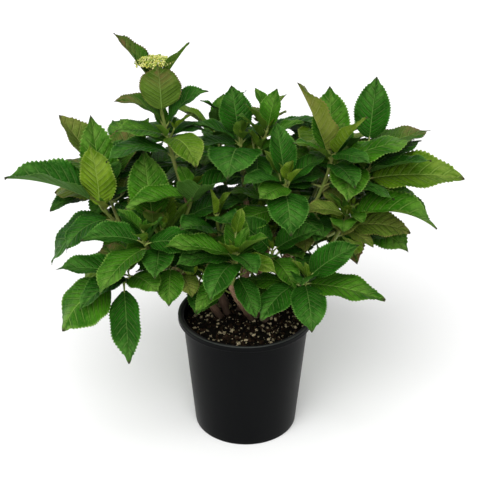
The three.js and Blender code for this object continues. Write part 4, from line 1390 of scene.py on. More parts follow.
# Teeth: where in its tooth a point stands, and the shares of the length between which teeth grow to
# their full depth and fade
TOOTH_POINT = 0.66
TEETH_GROW = (0.04, 0.2)
TEETH_FADE = (0.86, 0.94)

# Least half-width of a blade, and what its foot has more, in millimetres
LEAST_HALF = 0.25
FOOT_HALF = 1.0

# Form of a blade: curl of the margins and how much of it goes up, waves of a margin and how far one
# side is behind the other, rounding of the fold, groove above the midrib and rib below it
CURL = 0.16
CURL_MIDDLE = 0.65
MARGIN_WAVES = 2.6
WAVE_LAG = 0.3
FOLD_ROUND = 2.0
GROOVE_DEPTH = 0.5
GROOVE_WIDTH = 1.4
RIB_WIDTH = 1.2

# Places across a blade, from margin to margin
WIDE_COLUMNS = [1, 0.84, 0.62, 0.4, 0.2, 0.06, 0, -0.06, -0.2, -0.4, -0.62, -0.84, -1]
MIDDLE_COLUMNS = [1, 0.76, 0.44, 0.14, 0, -0.14, -0.44, -0.76, -1]
SMALL_COLUMNS = [1, 0.6, 0.2, 0, -0.2, -0.6, -1]

# Tints: share of the youngest leaves that are pale and of the placed ones that are deep, and the
# running shares of all others
PALE_SHARE = 0.6
DEEP_SHARE = 0.5
TINT_SHARES = {"deep": 0.42, "green": 0.76, "young": 0.84, "flushed": 0.92, "bronze": 1.0}

# Degrees over which leaves that follow the rule are bent aside, and twisted, along their length
BEND_RANGE = 24


def detail_of(length, look):
    """Places across a blade, and teeth of a margin, that its length needs."""
    if length > LARGE_LENGTH:
        return WIDE_COLUMNS, VEINS * look.teeth
    if length > MIDDLE_LENGTH:
        return MIDDLE_COLUMNS, VEINS
    return SMALL_COLUMNS, VEINS // 2


def blade_rings(leaf, columns, teeth, look):
    """Closed rings of a leaf from its foot to its tip, and their shares of its length.

    A place on the blade is r along and t across, from 1 at one margin over 0 at the midrib to -1. Rows
    of equal r follow the side veins: they leave the midrib at m = r^2 and lie at the share
    m + (r - m) |t|^1.25 of its length. The distance from the midrib is t times the half-width of the
    outline, which ends short of a narrow drip tip and is cut into forward teeth. The halves fold up
    about the midrib, the blade swells between its veins, and its margin curls and waves.
    """
    length = leaf["length"]
    count = np.arange(teeth)
    r = np.append(np.stack([count, count + TOOTH_POINT], 1).ravel() / teeth, 1.0)[:, None]
    point = np.append(np.tile([0.0, 1.0], teeth), 0.0)[:, None]
    t = np.asarray(columns)[None]
    reach = np.abs(t)
    m = r ** 2
    share = m + (r - m) * reach ** VEIN_CURVE
    phase = chance(*leaf["seed"], 1)
    curl = CURL * (chance(*leaf["seed"], 2) - CURL_MIDDLE)
    scale = length / TYPICAL_LENGTH
    widest = look.breadth * length * leaf["ratio"] / 2
    body = outline(np.clip(r / (1 - DRIP_TIP), 0, 1))
    half = widest * np.maximum(body, DRIP_BREADTH * np.minimum(1, (1 - r) / DRIP_TIP))
    half = half + look.tooth * length * point * smooth(*TEETH_GROW, r) * (1 - smooth(*TEETH_FADE, r))
    half = np.maximum(half, LEAST_HALF + FOOT_HALF * (1 - r) ** 4)
    shares, places, across, outward = midrib(leaf, BLADE_SAMPLES)
    place, over, out = (
        np.stack([np.interp(share, shares, rows[:, axis]) for axis in range(3)], -1)
        for rows in (places, across, outward)
    )
    aside = t * half
    fold = math.radians(leaf["fold"])
    raised = (np.hypot(aside, FOLD_ROUND) - FOLD_ROUND) * math.sin(fold) + curl * half * reach ** 2
    wave = np.sin(2 * np.pi * (MARGIN_WAVES * r + phase + WAVE_LAG * np.sign(t)))
    raised = raised + look.wave * scale * reach ** 2 * wave
    turn = r * VEINS + VEIN_STAGGER * (t > 0)
    swell = (0.5 - 0.5 * np.cos(2 * np.pi * turn)) * np.minimum(1, reach / 0.15) * (1 - 0.7 * reach ** 2)
    raised = raised + look.quilt * scale * swell * smooth(0, 0.12, r) * (1 - smooth(0.88, 1, r))
    raised = raised - GROOVE_DEPTH * scale * np.exp(-(aside / GROOVE_WIDTH) ** 2)
    upper = place + over * (aside * math.cos(fold))[..., None] + out * raised[..., None]
    ridge = look.rib * scale * np.exp(-(aside / RIB_WIDTH) ** 2) * (1 - 0.85 * r)
    depth = (look.thickness * (1 - reach ** 4) + ridge) * (1 - 0.9 * r ** 8)
    lower = upper - out * depth[..., None]
    return np.concatenate([upper, lower[:, -2:0:-1]], 1), r[:, 0]


def tint_of(leaf):
    """Tint of a leaf: the youngest are paler, and a few of the others too, or bronze."""
    if "tint" in leaf:
        return leaf["tint"]
    dice = chance(*leaf["seed"], 9)
    if leaf["length"] < YOUNG_LENGTH:
        return "young" if dice < PALE_SHARE else "green"
    if leaf["named"]:
        return "deep" if dice < DEEP_SHARE else "green"
    return next(tint for tint, share in TINT_SHARES.items() if dice <= share)


def add_blade(shell, leaf, cell, number, look):
    """Adds a leaf with its upper face in one finish and its underside in another. One that follows the
    rule is also bent aside and twisted a little."""
    columns, teeth = detail_of(leaf["length"], look)
    tint = TINT_NAMES.index(tint_of(leaf))
    if not leaf["named"]:
        bend, twist = (BEND_RANGE * chance(*leaf["seed"], channel) - BEND_RANGE / 2 for channel in (3, 4))
        leaf = {**leaf, "bend": bend, "twist": twist}
    rings, along = blade_rings(leaf, columns, teeth, look)
    ring_size = rings.shape[1]
    around = [*columns, *columns[-2:0:-1], columns[0]]
    finish = np.where(np.arange(ring_size) < ring_size // 2, tint, len(TINTS) + tint)
    pattern = number + 0.5 + PATTERN_SPAN * np.array(around)
    shell.add(rings, pattern, along, cell, finish, margins=(0, ring_size // 2))


class SHRUB_OT_leaves(bpy.types.Operator):
    """Unfold the leaves of every mass of foliage"""
    bl_idname = "shrub.leaves"
    bl_label = "Unfold leaves"

    def execute(self, context):
        look = context.scene.shrub_leaves
        plant = growth()
        finishes = [
            leaf_finish(f"{tint}_leaf_{face}", tint, face == "under", look)
            for face in ("upper", "under") for tint in TINT_NAMES
        ]
        for mass in MASSES:
            big = [leaf for leaf in plant["leaves"] if leaf["mass"] == mass["name"]]
            small = [leaf for leaf in plant["small"] if leaf["mass"] == mass["name"]]
            sheet = cells(len(big) + len(TINTS), 1.2)
            shell = Shell()
            for number, leaf in enumerate(big):
                add_blade(shell, leaf, sheet[number], number, look)
            for leaf in small:
                shared = len(big) + TINT_NAMES.index(tint_of(leaf))
                add_blade(shell, leaf, sheet[shared], shared, look)
            name = mass["name"].replace("foliage", "leaves")
            shell.write(name, finishes, "foliage", [mass["name"]])
        return {"FINISHED"}


# Stems: points of their curves, sides round them, and what keeps the ridges of each kind apart
CURVE_SAMPLES = 60
CANE_SIDES = 28
BOUGH_SIDES = 24
TWIG_SIDES = 14
STALK_SIDES = 8
SHOOT_SIDES = 7
BOUGH_SEED = 20
TWIG_SEED = 50

# Joints: where the first may stand as shares of their pitch, and the reach of each swelling
FIRST_JOINT = 0.4
FIRST_JOINT_SPREAD = 0.3
JOINT_REACH = 3.2

# How far a cane stands in the mix and a limb or twig runs on into its neighbour, in millimetres
CANE_DEPTH = 5
LIMB_REACH = 3
TWIG_REACH = 4

# Flare of a cane's foot and collars of forks, as shares of the radius, with the collars' reaches
ROOT_FLARE = 0.25
BOUGH_COLLAR = 0.35
BOUGH_COLLAR_REACH = 12
TWIG_COLLAR = 0.22
TWIG_COLLAR_REACH = 14

# Greenness of the bark at the foot of a stem, and what its tip has more
CANE_AGES = (0, 0.45)
BOUGH_AGES = (0.3, 0.45)
TWIG_AGES = (0.62, 0.38)
GREEN = 1.0

# Pattern of a stem: millimetres to its unit, and units from one stem's to the next
STEM_PATTERN = 10
STEM_PATTERN_STEP = 7.3

# Leaf stalk: radii along that of a typical leaf, how they grow with a leaf's length, its reach under
# the blade, and where it bends
STALK_RADII = np.array([2.9, 2.3, 1.9, 1.65, 1.5, 1.4, 1.3, 0.9])
STALK_GROWTH = 0.6
STALK_REACH = 3.0
STALK_REACH_SHARE = 0.05
STALK_KNEE = 0.45


def stem_rings(bend, radius, tip_radius, look, facets, before=0.0, after=0.0, seed=0, joints=None):
    """Rings of a stem with bark relief, and the distance of each along it.

    The path is the stem's own curve, run on straight at its ends. The radius falls evenly, swells by
    exp(-(d / 3.2)^2) about each joint, and carries low ridges sin(3 a), sin(7 a) and sin(11 a) that
    drift round it."""
    start, knee, end = (np.asarray(place, float) for place in bend)
    coarse = curve(start, knee, end, CURVE_SAMPLES)
    first = coarse[0] - unit(coarse[1] - coarse[0]) * before
    last = coarse[-1] + unit(coarse[-1] - coarse[-2]) * after
    coarse = np.concatenate([[first], coarse, [last]])
    gone = travelled(coarse)
    count = max(4, int(gone[-1] / look.step))
    distance = np.linspace(0, gone[-1], count + 1)
    path = np.stack([np.interp(distance, gone, coarse[:, axis]) for axis in range(3)], -1)
    if joints is None:
        joint = look.joint_pitch * (FIRST_JOINT + FIRST_JOINT_SPREAD * chance(seed, 1, 1, 1))
        joints = np.arange(joint, gone[-1], look.joint_pitch)
    swell = np.zeros(len(distance))
    for joint in joints:
        swell = swell + np.exp(-((distance - joint) / JOINT_REACH) ** 2)
    turn = 2 * np.pi * np.arange(facets)[None] / facets
    drift = distance[:, None]
    ridges = np.sin(3 * turn + drift * 0.013 + seed) + 0.6 * np.sin(7 * turn - drift * 0.03 + 2 * seed)
    ridges = ridges + 0.5 * np.sin(11 * turn + drift * 0.09) * np.sin(drift * 0.31 + seed)
    plain = np.linspace(radius, tip_radius, len(distance))[:, None]
    radii = plain * (1 + look.ridge * ridges + look.joint_swell * np.clip(swell, 0, 1)[:, None])
    return tube(path, radii, facets), distance


def swollen(rings, factors):
    """Rings scaled about their centres, each by its own factor."""
    centre = rings.mean(1, keepdims=True)
    return centre + (rings - centre) * factors[:, None, None]


def ageing(ages, distance):
    """Greenness along a stem, even from its foot to its tip."""
    foot, more = ages
    return foot + more * distance / distance[-1]


def add_stem(shell, rings, distance, cell, number, age):
    """Adds a stem, its pattern running round it once and along it in centimetres."""
    around = number + np.linspace(0, 1, rings.shape[1] + 1)
    along = distance / STEM_PATTERN + STEM_PATTERN_STEP * number
    shell.add(rings, around, along, cell, age=age)


class SHRUB_OT_limbs(bpy.types.Operator):
    """Grow the canes from the mix and the boughs from the canes"""
    bl_idname = "shrub.limbs"
    bl_label = "Grow canes and boughs"

    def execute(self, context):
        look = context.scene.shrub_stems
        limbs = growth()["limbs"]
        bark = stem_finish("cane_bark", "#7d5a43", "#ad8a6e", "#7d7a3e", "#352820", 0.72)
        canes = Shell()
        for number, (name, _, radius, _) in enumerate(CANES):
            rings, distance = stem_rings(
                limbs[name]["bend"], radius, CANE_TIP_RADIUS, look, CANE_SIDES,
                before=CANE_DEPTH, after=LIMB_REACH, seed=number)
            rings[0] += (rings[0] - rings[0].mean(0)) * ROOT_FLARE
            cell = (number, 0, len(CANES), 1)
            add_stem(canes, rings, distance, cell, number, ageing(CANE_AGES, distance))
        canes.write("canes", [bark], "bark", [name for name, *_ in CANES])
        boughs = Shell()
        for number, (name, *_) in enumerate(BOUGHS):
            _, knee, end = limbs[name]["bend"]
            rings, distance = stem_rings(
                (limbs[name]["fork"], knee, end), BOUGH_RADIUS, BOUGH_TIP_RADIUS, look, BOUGH_SIDES,
                after=LIMB_REACH, seed=BOUGH_SEED + number)
            rings = swollen(rings, 1 + BOUGH_COLLAR * np.exp(-(distance / BOUGH_COLLAR_REACH) ** 2))
            cell = (number, 0, len(BOUGHS), 1)
            add_stem(boughs, rings, distance, cell, number, ageing(BOUGH_AGES, distance))
        young = stem_finish("bough_bark", "#80604a", "#a3875f", "#75803a", "#50392b", 0.64)
        boughs.write("boughs", [young], "green_stem", [name for name, *_ in BOUGHS])
        return {"FINISHED"}


def stalk_rings(leaf):
    """Rings of a leaf stalk, from inside its twig to under the foot of the blade, widest at the twig."""
    along = heading(leaf["bearing"], leaf["rise"])
    node, base = leaf["node"], leaf["base"]
    end = base + along * min(STALK_REACH, STALK_REACH_SHARE * leaf["length"])
    knee = base - along * STALK_KNEE * leaf["petiole"]
    path = curve(node, knee, end, len(STALK_RADII) - 1)
    radii = (leaf["length"] / TYPICAL_LENGTH) ** STALK_GROWTH * STALK_RADII
    return tube(path, radii, STALK_SIDES), travelled(path)


class SHRUB_OT_twigs(bpy.types.Operator):
    """Grow the twigs, side shoots and leaf stalks"""
    bl_idname = "shrub.twigs"
    bl_label = "Grow twigs and stalks"

    def execute(self, context):
        look = context.scene.shrub_stems
        plant = growth()
        skin_finish = stem_finish("twig_skin", "#86704a", "#a59a5c", "#6f8434", "#5d4a30", 0.55)
        twigs = Shell()
        sheet = cells(len(plant["twigs"]) + 1, 0.4)
        for number, twig in enumerate(plant["twigs"]):
            foot, knee, tip = twig["bend"]
            length = travelled(curve(foot, knee, tip, CURVE_SAMPLES))[-1]
            distances = twig["distances"][:twig["pairs"]]
            before = TWIG_REACH if twig["first"] else 0
            joints = [length + before - distance for distance in distances if distance < length]
            rings, distance = stem_rings(
                twig["bend"], twig["radius"], TWIG_TIP_RADIUS, look, TWIG_SIDES,
                before=before, seed=TWIG_SEED + number, joints=joints)
            if twig["first"]:
                rings = swollen(rings, 1 + TWIG_COLLAR * np.exp(-distance / TWIG_COLLAR_REACH))
            add_stem(twigs, rings, distance, sheet[number], number, ageing(TWIG_AGES, distance))
        for shoot in plant["shoots"]:
            path = shoot["path"]
            rings = tube(path, np.linspace(SHOOT_RADIUS, SHOOT_TIP_RADIUS, len(path)), SHOOT_SIDES)
            add_stem(twigs, rings, travelled(path), sheet[-1], len(sheet), GREEN)
        twigs.write("twigs", [skin_finish], "green_stem")
        stalk_finish = stem_finish("stalk_skin", "#8d7a48", "#b3a868", "#7d9440", "#7a4f3c", 0.5)
        stalks = Shell()
        leaves = plant["leaves"] + plant["small"]
        sheet = cells(len(plant["leaves"]) + 1, 0.5)
        for number, leaf in enumerate(leaves):
            rings, distance = stalk_rings(leaf)
            shared = min(number, len(plant["leaves"]))
            add_stem(stalks, rings, distance, sheet[shared], shared, GREEN)
        stalks.write("leaf_stalks", [stalk_finish], "foliage")
        return {"FINISHED"}


# Share of a half-turn that a grain's rings cover on each side of its middle
POLE = 0.48


def ball_rings(centre, radii, axis_turn, axis_lean, rows, facets):
    """Rings of an egg-shaped grain: a circle swept from pole to pole, stretched by three radii, leaned
    and turned."""
    rise = np.linspace(-POLE, POLE, rows) * np.pi
    turn = 2 * np.pi * np.arange(facets) / facets
    x = np.cos(rise)[:, None] * np.cos(turn) * radii[0]
    y = np.cos(rise)[:, None] * np.sin(turn) * radii[1]
    z = np.broadcast_to(np.sin(rise)[:, None] * radii[2], x.shape)
    lean_x = x * math.cos(axis_lean) + z * math.sin(axis_lean)
    lean_z = z * math.cos(axis_lean) - x * math.sin(axis_lean)
    turned_x = lean_x * math.cos(axis_turn) - y * math.sin(axis_turn)
    turned_y = lean_x * math.sin(axis_turn) + y * math.cos(axis_turn)
    return np.stack([turned_x, turned_y, lean_z], -1) + centre


# Form of the flower head: lobes and dome as shares of its radius and thickness, with a little scatter
HEAD_LOBES = 5
LOBE_DEPTH = 0.07
HEAD_DOME = 0.62
RADIUS_SCATTER = 0.05
HEIGHT_SCATTER = 3.4

# Buds: least size, range of sizes, height against width, lean at the head's edge, grid, and how far
# chance runs over their shades
BUD_LEAST = 0.7
BUD_RANGE = 0.6
BUD_HEIGHT = 1.15
BUD_LEAN = 0.35
BUD_ROWS = 6
BUD_SIDES = 8
SHADE_RANGE = 3.2

# Rays: buds to a hub, radii at foot and tip, steps and sides of the main and the fine ones, and the
# reach of the main ones
BUDS_PER_HUB = 6
HUB_DROP = 1.5
MAIN_RAY = ((1.5, 1.0), 5, 7)
FINE_RAY = ((0.8, 0.5), 4, 5)
RAY_REACH = 15


def add_ray(shell, start, end, sag, ray):
    """Adds a ray of the flower head that bends down by so much."""
    radii, steps, sides = ray
    path = curve(start, (start + end) / 2 - [0, 0, sag], end, steps)
    rings = tube(path, np.linspace(*radii, steps + 1), sides)
    add_stem(shell, rings, travelled(path), (0, 0, 1, 1), 0, GREEN)


class SHRUB_OT_head(bpy.types.Operator):
    """Open the young flower head: buds on rays that branch twice"""
    bl_idname = "shrub.head"
    bl_label = "Open flower head"

    def execute(self, context):
        look = context.scene.shrub_head
        twig = next(twig for twig in growth()["twigs"] if "flowers" in twig["mass"])
        tip = twig["path"][-1]
        level = tip[2] + HEAD_RISE
        golden = math.pi * (3 - math.sqrt(5))
        finishes = [
            bud_finish("green_bud", paint("#7d9430"), paint("#9cad42")),
            bud_finish("yellow_bud", paint("#a9ad3c"), paint("#c6c658")),
            bud_finish("pale_bud", paint("#c2c46a"), paint("#dad88e")),
        ]
        buds = Shell()
        index = np.arange(look.buds)
        spread = np.sqrt((index + 0.5) / look.buds)
        hubs = []
        for number, share in zip(index, spread):
            turn = number * golden
            lobes = LOBE_DEPTH * math.cos(HEAD_LOBES * turn)
            radius = HEAD_RADIUS * share * (1 + lobes + RADIUS_SCATTER * (chance(number, 1, 1, 1) - 0.5))
            crown = HEAD_THICKNESS * (1 - HEAD_DOME * share ** 2)
            crown = crown + HEIGHT_SCATTER * (chance(number, 2, 1, 1) - 0.5)
            x = tip[0] + radius * math.cos(turn)
            y = tip[1] + radius * math.sin(turn)
            centre = np.array([x, y, level + crown])
            size = look.bud_radius * (BUD_LEAST + BUD_RANGE * chance(number, 3, 1, 1))
            radii = (size, size, size * BUD_HEIGHT)
            rings = ball_rings(centre, radii, turn, BUD_LEAN * share, BUD_ROWS, BUD_SIDES)
            shade = min(len(finishes) - 1, int(SHADE_RANGE * chance(number, 4, 1, 1)))
            around, along = np.linspace(0, 1, BUD_SIDES + 1), np.linspace(0, 1, BUD_ROWS)
            buds.add(rings, around, along, (shade, 0, len(finishes), 1), shade)
            if number % BUDS_PER_HUB == 0:
                hubs.append(centre - [0, 0, HUB_DROP])
        buds.write("flower_buds", finishes, "foliage")
        rays = Shell()
        foot = tip - [0, 0, 3]
        mains = [
            np.array([tip[0] + RAY_REACH * math.cos(turn), tip[1] + RAY_REACH * math.sin(turn), level + 1])
            for turn in 2 * np.pi * np.arange(look.rays) / look.rays
        ]
        mains.append(np.array([tip[0], tip[1], level + 2]))
        for end in mains:
            add_ray(rays, foot, end, 1, MAIN_RAY)
        for hub in hubs:
            start = min(mains, key=lambda place: float(np.linalg.norm(place - hub)))
            add_ray(rays, start, hub, 1.2, FINE_RAY)
        ray_finish = stem_finish("ray_skin", "#8a9046", "#b0b060", "#8da24a", "#6f6a38", 0.5)
        rays.write("flower_rays", [ray_finish], "green_stem")
        return {"FINISHED"}


def turned(profile, sectors, lift=None):
    """Rings of a turned form: each profile point (radius, height) swept round Z. lift may add a height
    for each point of the grid from its x and y."""
    profile = np.asarray(profile, float)
    turn = 2 * np.pi * np.arange(sectors) / sectors
    x = profile[:, :1] * np.cos(turn)
    y = profile[:, :1] * np.sin(turn)
    z = np.broadcast_to(profile[:, 1:], x.shape)
    if lift is not None:
        z = z + lift(x, y, z)
    return np.stack([x, y, z], -1)


def arc(centre, radius, start, end, steps):
    """Points of a round edge about (radius, height) centre, from one angle to another in degrees."""
    angle = np.radians(np.linspace(start, end, steps + 1))
    return [(centre[0] + radius * math.cos(a), centre[1] + radius * math.sin(a)) for a in angle]


# Pot, in millimetres: radius of the rings nearest its axis, hollow of the underside, the ring that it
# stands on, and its round edges
CENTRE = 0.5
UNDERSIDE_RISE = 0.9
STAND_INNER = 14
STAND_OUTER = 12
FOOT_ROUND = 2.2
BAND_ROUND = 1.6
LIP_ROUND = 2.0
INNER_ROUND = 1.4

# Drain holes in the floor: how many, their distance from the axis and their radius
DRAIN_HOLES = 6
DRAIN_RING = 62
DRAIN_RADIUS = 6
DRAIN_SIDES = 24


class SHRUB_OT_pot(bpy.types.Operator):
    """Turn the nursery pot with its rolled rim, and bore the drain holes"""
    bl_idname = "shrub.pot"
    bl_label = "Turn pot"

    def execute(self, context):
        look = context.scene.shrub_pot
        band_foot = POT_HEIGHT - look.band
        rim = POT_RIM_RADIUS
        inner = look.body_top - look.wall
        taper = look.body_top - look.foot
        slope = math.degrees(math.atan2(taper, band_foot))
        outside = [
            (look.foot + taper * share, band_foot * share)
            for share in np.linspace(0.06, 0.975, 16)
        ]
        bore = [
            (inner - taper * share, POT_HEIGHT - 9 - (band_foot - 12) * share)
            for share in np.linspace(0, 0.99, 8)
        ]
        profile = [
            (CENTRE, UNDERSIDE_RISE), (30, UNDERSIDE_RISE),
            (look.foot - STAND_INNER, UNDERSIDE_RISE), (look.foot - STAND_OUTER, 0),
            *arc((look.foot - FOOT_ROUND, FOOT_ROUND), FOOT_ROUND, -90, -slope, 5),
            *outside,
            (look.body_top + 0.2, band_foot - 2.2), (look.body_top + 1.2, band_foot - 0.8),
            *arc((rim - BAND_ROUND, band_foot + 1.0), BAND_ROUND, -80, 0, 4),
            (rim - 0.5, band_foot + 4.2), (rim - 0.3, POT_HEIGHT - 3.4),
            *arc((rim - LIP_ROUND, POT_HEIGHT - LIP_ROUND), LIP_ROUND, 5, 90, 5),
            (rim - 4.4, POT_HEIGHT - 0.5), (look.body_top + 1.6, POT_HEIGHT - 1.2),
            *arc((inner + INNER_ROUND, POT_HEIGHT - 3.0), INNER_ROUND, 90, 180, 4),
            *bore,
            (look.foot - look.wall - 2, look.floor), (30, look.floor), (CENTRE, look.floor),
        ]
        shell = Shell()
        rings = turned(profile, look.sectors)
        around = np.linspace(0, 1, look.sectors + 1)
        shell.add(rings, around, np.linspace(0, 1, len(profile)), (0, 0, 1, 1))
        plastic = plastic_finish("black_plastic", look.colour, look)
        pot = shell.write("nursery_pot", [plastic], "pot", ["pot"])
        self.drain(pot)
        return {"FINISHED"}

    @staticmethod
    def drain(pot):
        """Cuts round drain holes through the floor."""
        drills = Shell()
        for hole in range(DRAIN_HOLES):
            turn = 2 * math.pi * (hole + 0.5) / DRAIN_HOLES
            x, y = DRAIN_RING * math.cos(turn), DRAIN_RING * math.sin(turn)
            rings = tube([(x, y, -2), (x, y, 5)], [DRAIN_RADIUS] * 2, DRAIN_SIDES)
            drills.add(rings, np.linspace(0, 1, DRAIN_SIDES + 1), [0, 1], (0, 0, 1, 1))
        drill = drills.write("drills", [], "pot")
        cut = pot.modifiers.new("drain_holes", "BOOLEAN")
        cut.operation = "DIFFERENCE"
        cut.solver = "EXACT"
        cut.object = drill
        drained = pot.evaluated_get(bpy.context.evaluated_depsgraph_get())
        shape = bpy.data.meshes.new_from_object(drained)
        pot.modifiers.clear()
        pot.data = shape
        bpy.data.objects.remove(drill)


# Waves of the mix: turns per millimetre along X and Y in radians, phase and size
MIX_WAVES = (
    (0.16, 0.11, 0.3, 1.0),
    (-0.23, 0.19, 1.7, 0.7),
    (0.31, -0.37, 4.1, 0.5),
    (0.52, 0.47, 2.2, 0.3),
    (-0.66, 0.28, 5.3, 0.25),
)

# Grid of the mix, and how far its level lies under the top of the solid's
MIX_SECTORS = 160
MIX_ROWS = 56
MIX_SINK = 1.5

# Crumbs on the mix: range of sizes, flatness, and tones against their colour
CRUMB_SEED = 11
CRUMB_ROWS = 4
CRUMB_SIDES = 6
CHIP_SIZES = (1.4, 5.2)
CHIP_FLATNESS = 0.45
CHIP_TONES = (0.45, 0.8, 1.25, 1.9)
GRAIN_SIZES = (0.45, 3.4)
GRAIN_FLATNESS = 0.75
GRAIN_TONES = (0.55, 0.85, 1.3)


def ground_height(x, y, bumps):
    """Height of the mix above its level: sums of crossed waves of 9 to 57 mm."""
    height = sum(size * np.sin(a * x + phase) * np.cos(b * y - phase) for a, b, phase, size in MIX_WAVES)
    return bumps * height * 0.6


def toned(colour, factor):
    """A colour made darker or lighter, at most white."""
    return tuple(min(1, factor * part) for part in colour)


class SHRUB_OT_mix(bpy.types.Operator):
    """Fill the pot with potting mix, and scatter bark chips and pale grains on it"""
    bl_idname = "shrub.mix"
    bl_label = "Fill pot"

    def execute(self, context):
        look = context.scene.shrub_mix
        pot = context.scene.shrub_pot
        wall = pot.body_top - pot.wall - 0.5
        level = MIX_LEVEL - MIX_SINK
        slope = (pot.body_top - pot.foot) / POT_HEIGHT

        def lift(x, y, z):
            edge = smooth(wall - 1, wall - 10, np.hypot(x, y))
            return np.where(z > level - 0.5, ground_height(x, y, look.bumps) * edge, 0)

        foot = pot.floor + 0.5
        sides = [(wall - slope * (level - z), z) for z in (foot, level * 0.5, level - 6)]
        top = [(r, level) for r in np.linspace(wall - 0.5, CENTRE, MIX_ROWS)]
        profile = [(CENTRE, foot), *sides, *top]
        shell = Shell()
        rings = turned(profile, MIX_SECTORS, lift)
        around, along = np.linspace(0, 1, MIX_SECTORS + 1), np.linspace(0, 1, len(profile))
        shell.add(rings, around, along, (0, 0, 1, 1))
        peat = crumb_finish("peat", look.peat, toned(look.peat, 1.9), 0.88, 260)
        shell.write("potting_mix_bed", [peat], "potting_mix", ["potting_mix"])
        draw = np.random.default_rng(CRUMB_SEED)
        ground = (wall, level, look.bumps)
        chips = self.scatter(look.chips, draw, ground, CHIP_SIZES, CHIP_FLATNESS, len(CHIP_TONES))
        bark = [
            crumb_finish(
                f"bark_chip_{step}", toned(look.bark, tone), toned(look.bark, 1.6 * tone), 0.8, 500)
            for step, tone in enumerate(CHIP_TONES)
        ]
        chips.write("bark_chips", bark, "potting_mix")
        grains = self.scatter(look.grains, draw, ground, GRAIN_SIZES, GRAIN_FLATNESS, len(GRAIN_TONES))
        mineral = [
            crumb_finish(
                f"pale_grain_{step}", toned(look.mineral, 0.6 * tone), toned(look.mineral, tone), 0.85, 700)
            for step, tone in enumerate(GRAIN_TONES)
        ]
        grains.write("pale_grains", mineral, "potting_mix")
        return {"FINISHED"}

    @staticmethod
    def scatter(count, draw, ground, sizes, flatness, finishes):
        """Uneven crumbs over the whole disc of the ground, part sunk in it."""
        wall, level, bumps = ground
        shell = Shell()
        for _ in range(count):
            distance = (wall - 4) * math.sqrt(draw.random())
            turn = 2 * math.pi * draw.random()
            x, y = distance * math.cos(turn), distance * math.sin(turn)
            size = sizes[0] + (sizes[1] - sizes[0]) * draw.random() ** 2.2
            radii = size * (0.7 + 0.6 * draw.random(3)) * [1.3, 0.8, flatness]
            height = level + float(ground_height(x, y, bumps)) + radii[2] * 0.35
            axis_turn = 2 * math.pi * draw.random()
            axis_lean = 0.7 * draw.normal()
            rings = ball_rings([x, y, height], radii, axis_turn, axis_lean, CRUMB_ROWS, CRUMB_SIDES)
            rings = rings + draw.normal(size=rings.shape) * size * 0.14
            finish = int(draw.integers(finishes))
            around, along = np.linspace(0, 1, CRUMB_SIDES + 1), np.linspace(0, 1, CRUMB_ROWS)
            shell.add(rings, around, along, (finish, 0, finishes, 1), finish)
        return shell


# The photograph's camera: place in millimetres, tilt below level, lens and sensor for a square frame,
# and how far it sees in metres
CAMERA_PLACE = (-9.7, -1546.9, 1132.3)
CAMERA_TILT = 26.94
CAMERA_LENS = 80.1
SENSOR = 36
CLIP_END = 200

# The key light leans from upright towards the camera and to its left
KEY_TILT = 42
KEY_TURN = -14


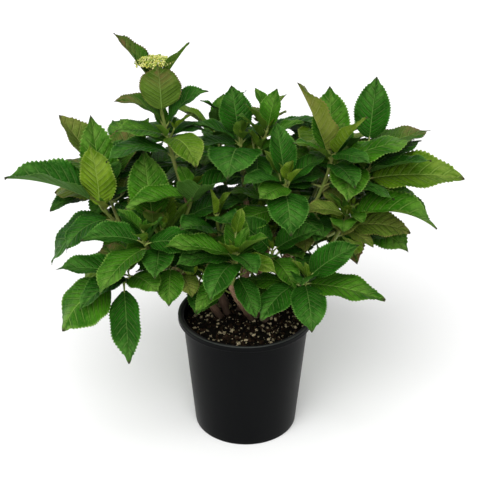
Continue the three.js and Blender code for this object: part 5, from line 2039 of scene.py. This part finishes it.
class SHRUB_OT_stage(bpy.types.Operator):
    """Set the pale floor, the soft lights and the camera"""
    bl_idname = "shrub.stage"
    bl_label = "Set stage"

    def execute(self, context):
        look = context.scene.shrub_stage
        half = look.floor_half
        mesh = bpy.data.meshes.new("floor")
        corners = [(-half, -half, 0), (half, -half, 0), (half, half, 0), (-half, half, 0)]
        mesh.from_pydata(corners, [], [(0, 1, 2, 3)])
        finish = Finish("pale_floor")
        mesh.materials.append(finish.surface(base_color=opaque(look.floor_tone), roughness=0.9))
        floor = bpy.data.objects.new("floor", mesh)
        context.scene.collection.objects.link(floor)
        key = bpy.data.lights.new("key", "SUN")
        key.energy = look.key
        key.angle = look.key_spread
        lamp = bpy.data.objects.new("key", key)
        lamp.rotation_euler = (math.radians(KEY_TILT), 0, math.radians(KEY_TURN))
        context.scene.collection.objects.link(lamp)
        world = bpy.data.worlds.new("sky")
        world.use_nodes = True
        light = world.node_tree.nodes["Background"].inputs
        light["Color"].default_value = (1, 1, 1, 1)
        light["Strength"].default_value = look.sky
        context.scene.world = world
        context.scene.view_settings.view_transform = "Standard"
        camera = bpy.data.objects.new("camera", bpy.data.cameras.new("camera"))
        camera.data.lens = CAMERA_LENS
        camera.data.sensor_width = SENSOR
        camera.data.clip_end = CLIP_END
        camera.location = [place * MM for place in CAMERA_PLACE]
        camera.rotation_euler = (math.radians(90 - CAMERA_TILT), 0, 0)
        context.scene.collection.objects.link(camera)
        context.scene.camera = camera
        return {"FINISHED"}


LOOKS = {
    "shrub_leaves": LeafLook,
    "shrub_stems": StemLook,
    "shrub_head": HeadLook,
    "shrub_pot": PotLook,
    "shrub_mix": MixLook,
    "shrub_stage": StageLook,
}
STEPS = [
    SHRUB_OT_stage,
    SHRUB_OT_pot,
    SHRUB_OT_mix,
    SHRUB_OT_limbs,
    SHRUB_OT_twigs,
    SHRUB_OT_leaves,
    SHRUB_OT_head,
]


class SHRUB_PT_panel(bpy.types.Panel):
    """Steps and looks of the potted shrub"""
    bl_label = "Hydrangea"
    bl_idname = "SHRUB_PT_panel"
    bl_space_type = "VIEW_3D"
    bl_region_type = "UI"
    bl_category = "Hydrangea"

    def draw(self, context):
        for step in STEPS:
            self.layout.operator(step.bl_idname)
        for name, kind in LOOKS.items():
            box = self.layout.box()
            box.label(text=kind.__doc__)
            for prop in kind.__annotations__:
                box.prop(getattr(context.scene, name), prop)


def register():
    for kind in [*LOOKS.values(), *STEPS, SHRUB_PT_panel]:
        bpy.utils.register_class(kind)
    for name, kind in LOOKS.items():
        setattr(bpy.types.Scene, name, PointerProperty(type=kind))


def unregister():
    for name in LOOKS:
        delattr(bpy.types.Scene, name)
    for kind in reversed([*LOOKS.values(), *STEPS, SHRUB_PT_panel]):
        bpy.utils.unregister_class(kind)


def main():
    """Registers the classes and runs every step."""
    register()
    for step in STEPS:
        group, name = step.bl_idname.split(".")
        getattr(getattr(bpy.ops, group), name)()


if __name__ == "__main__":
    main()
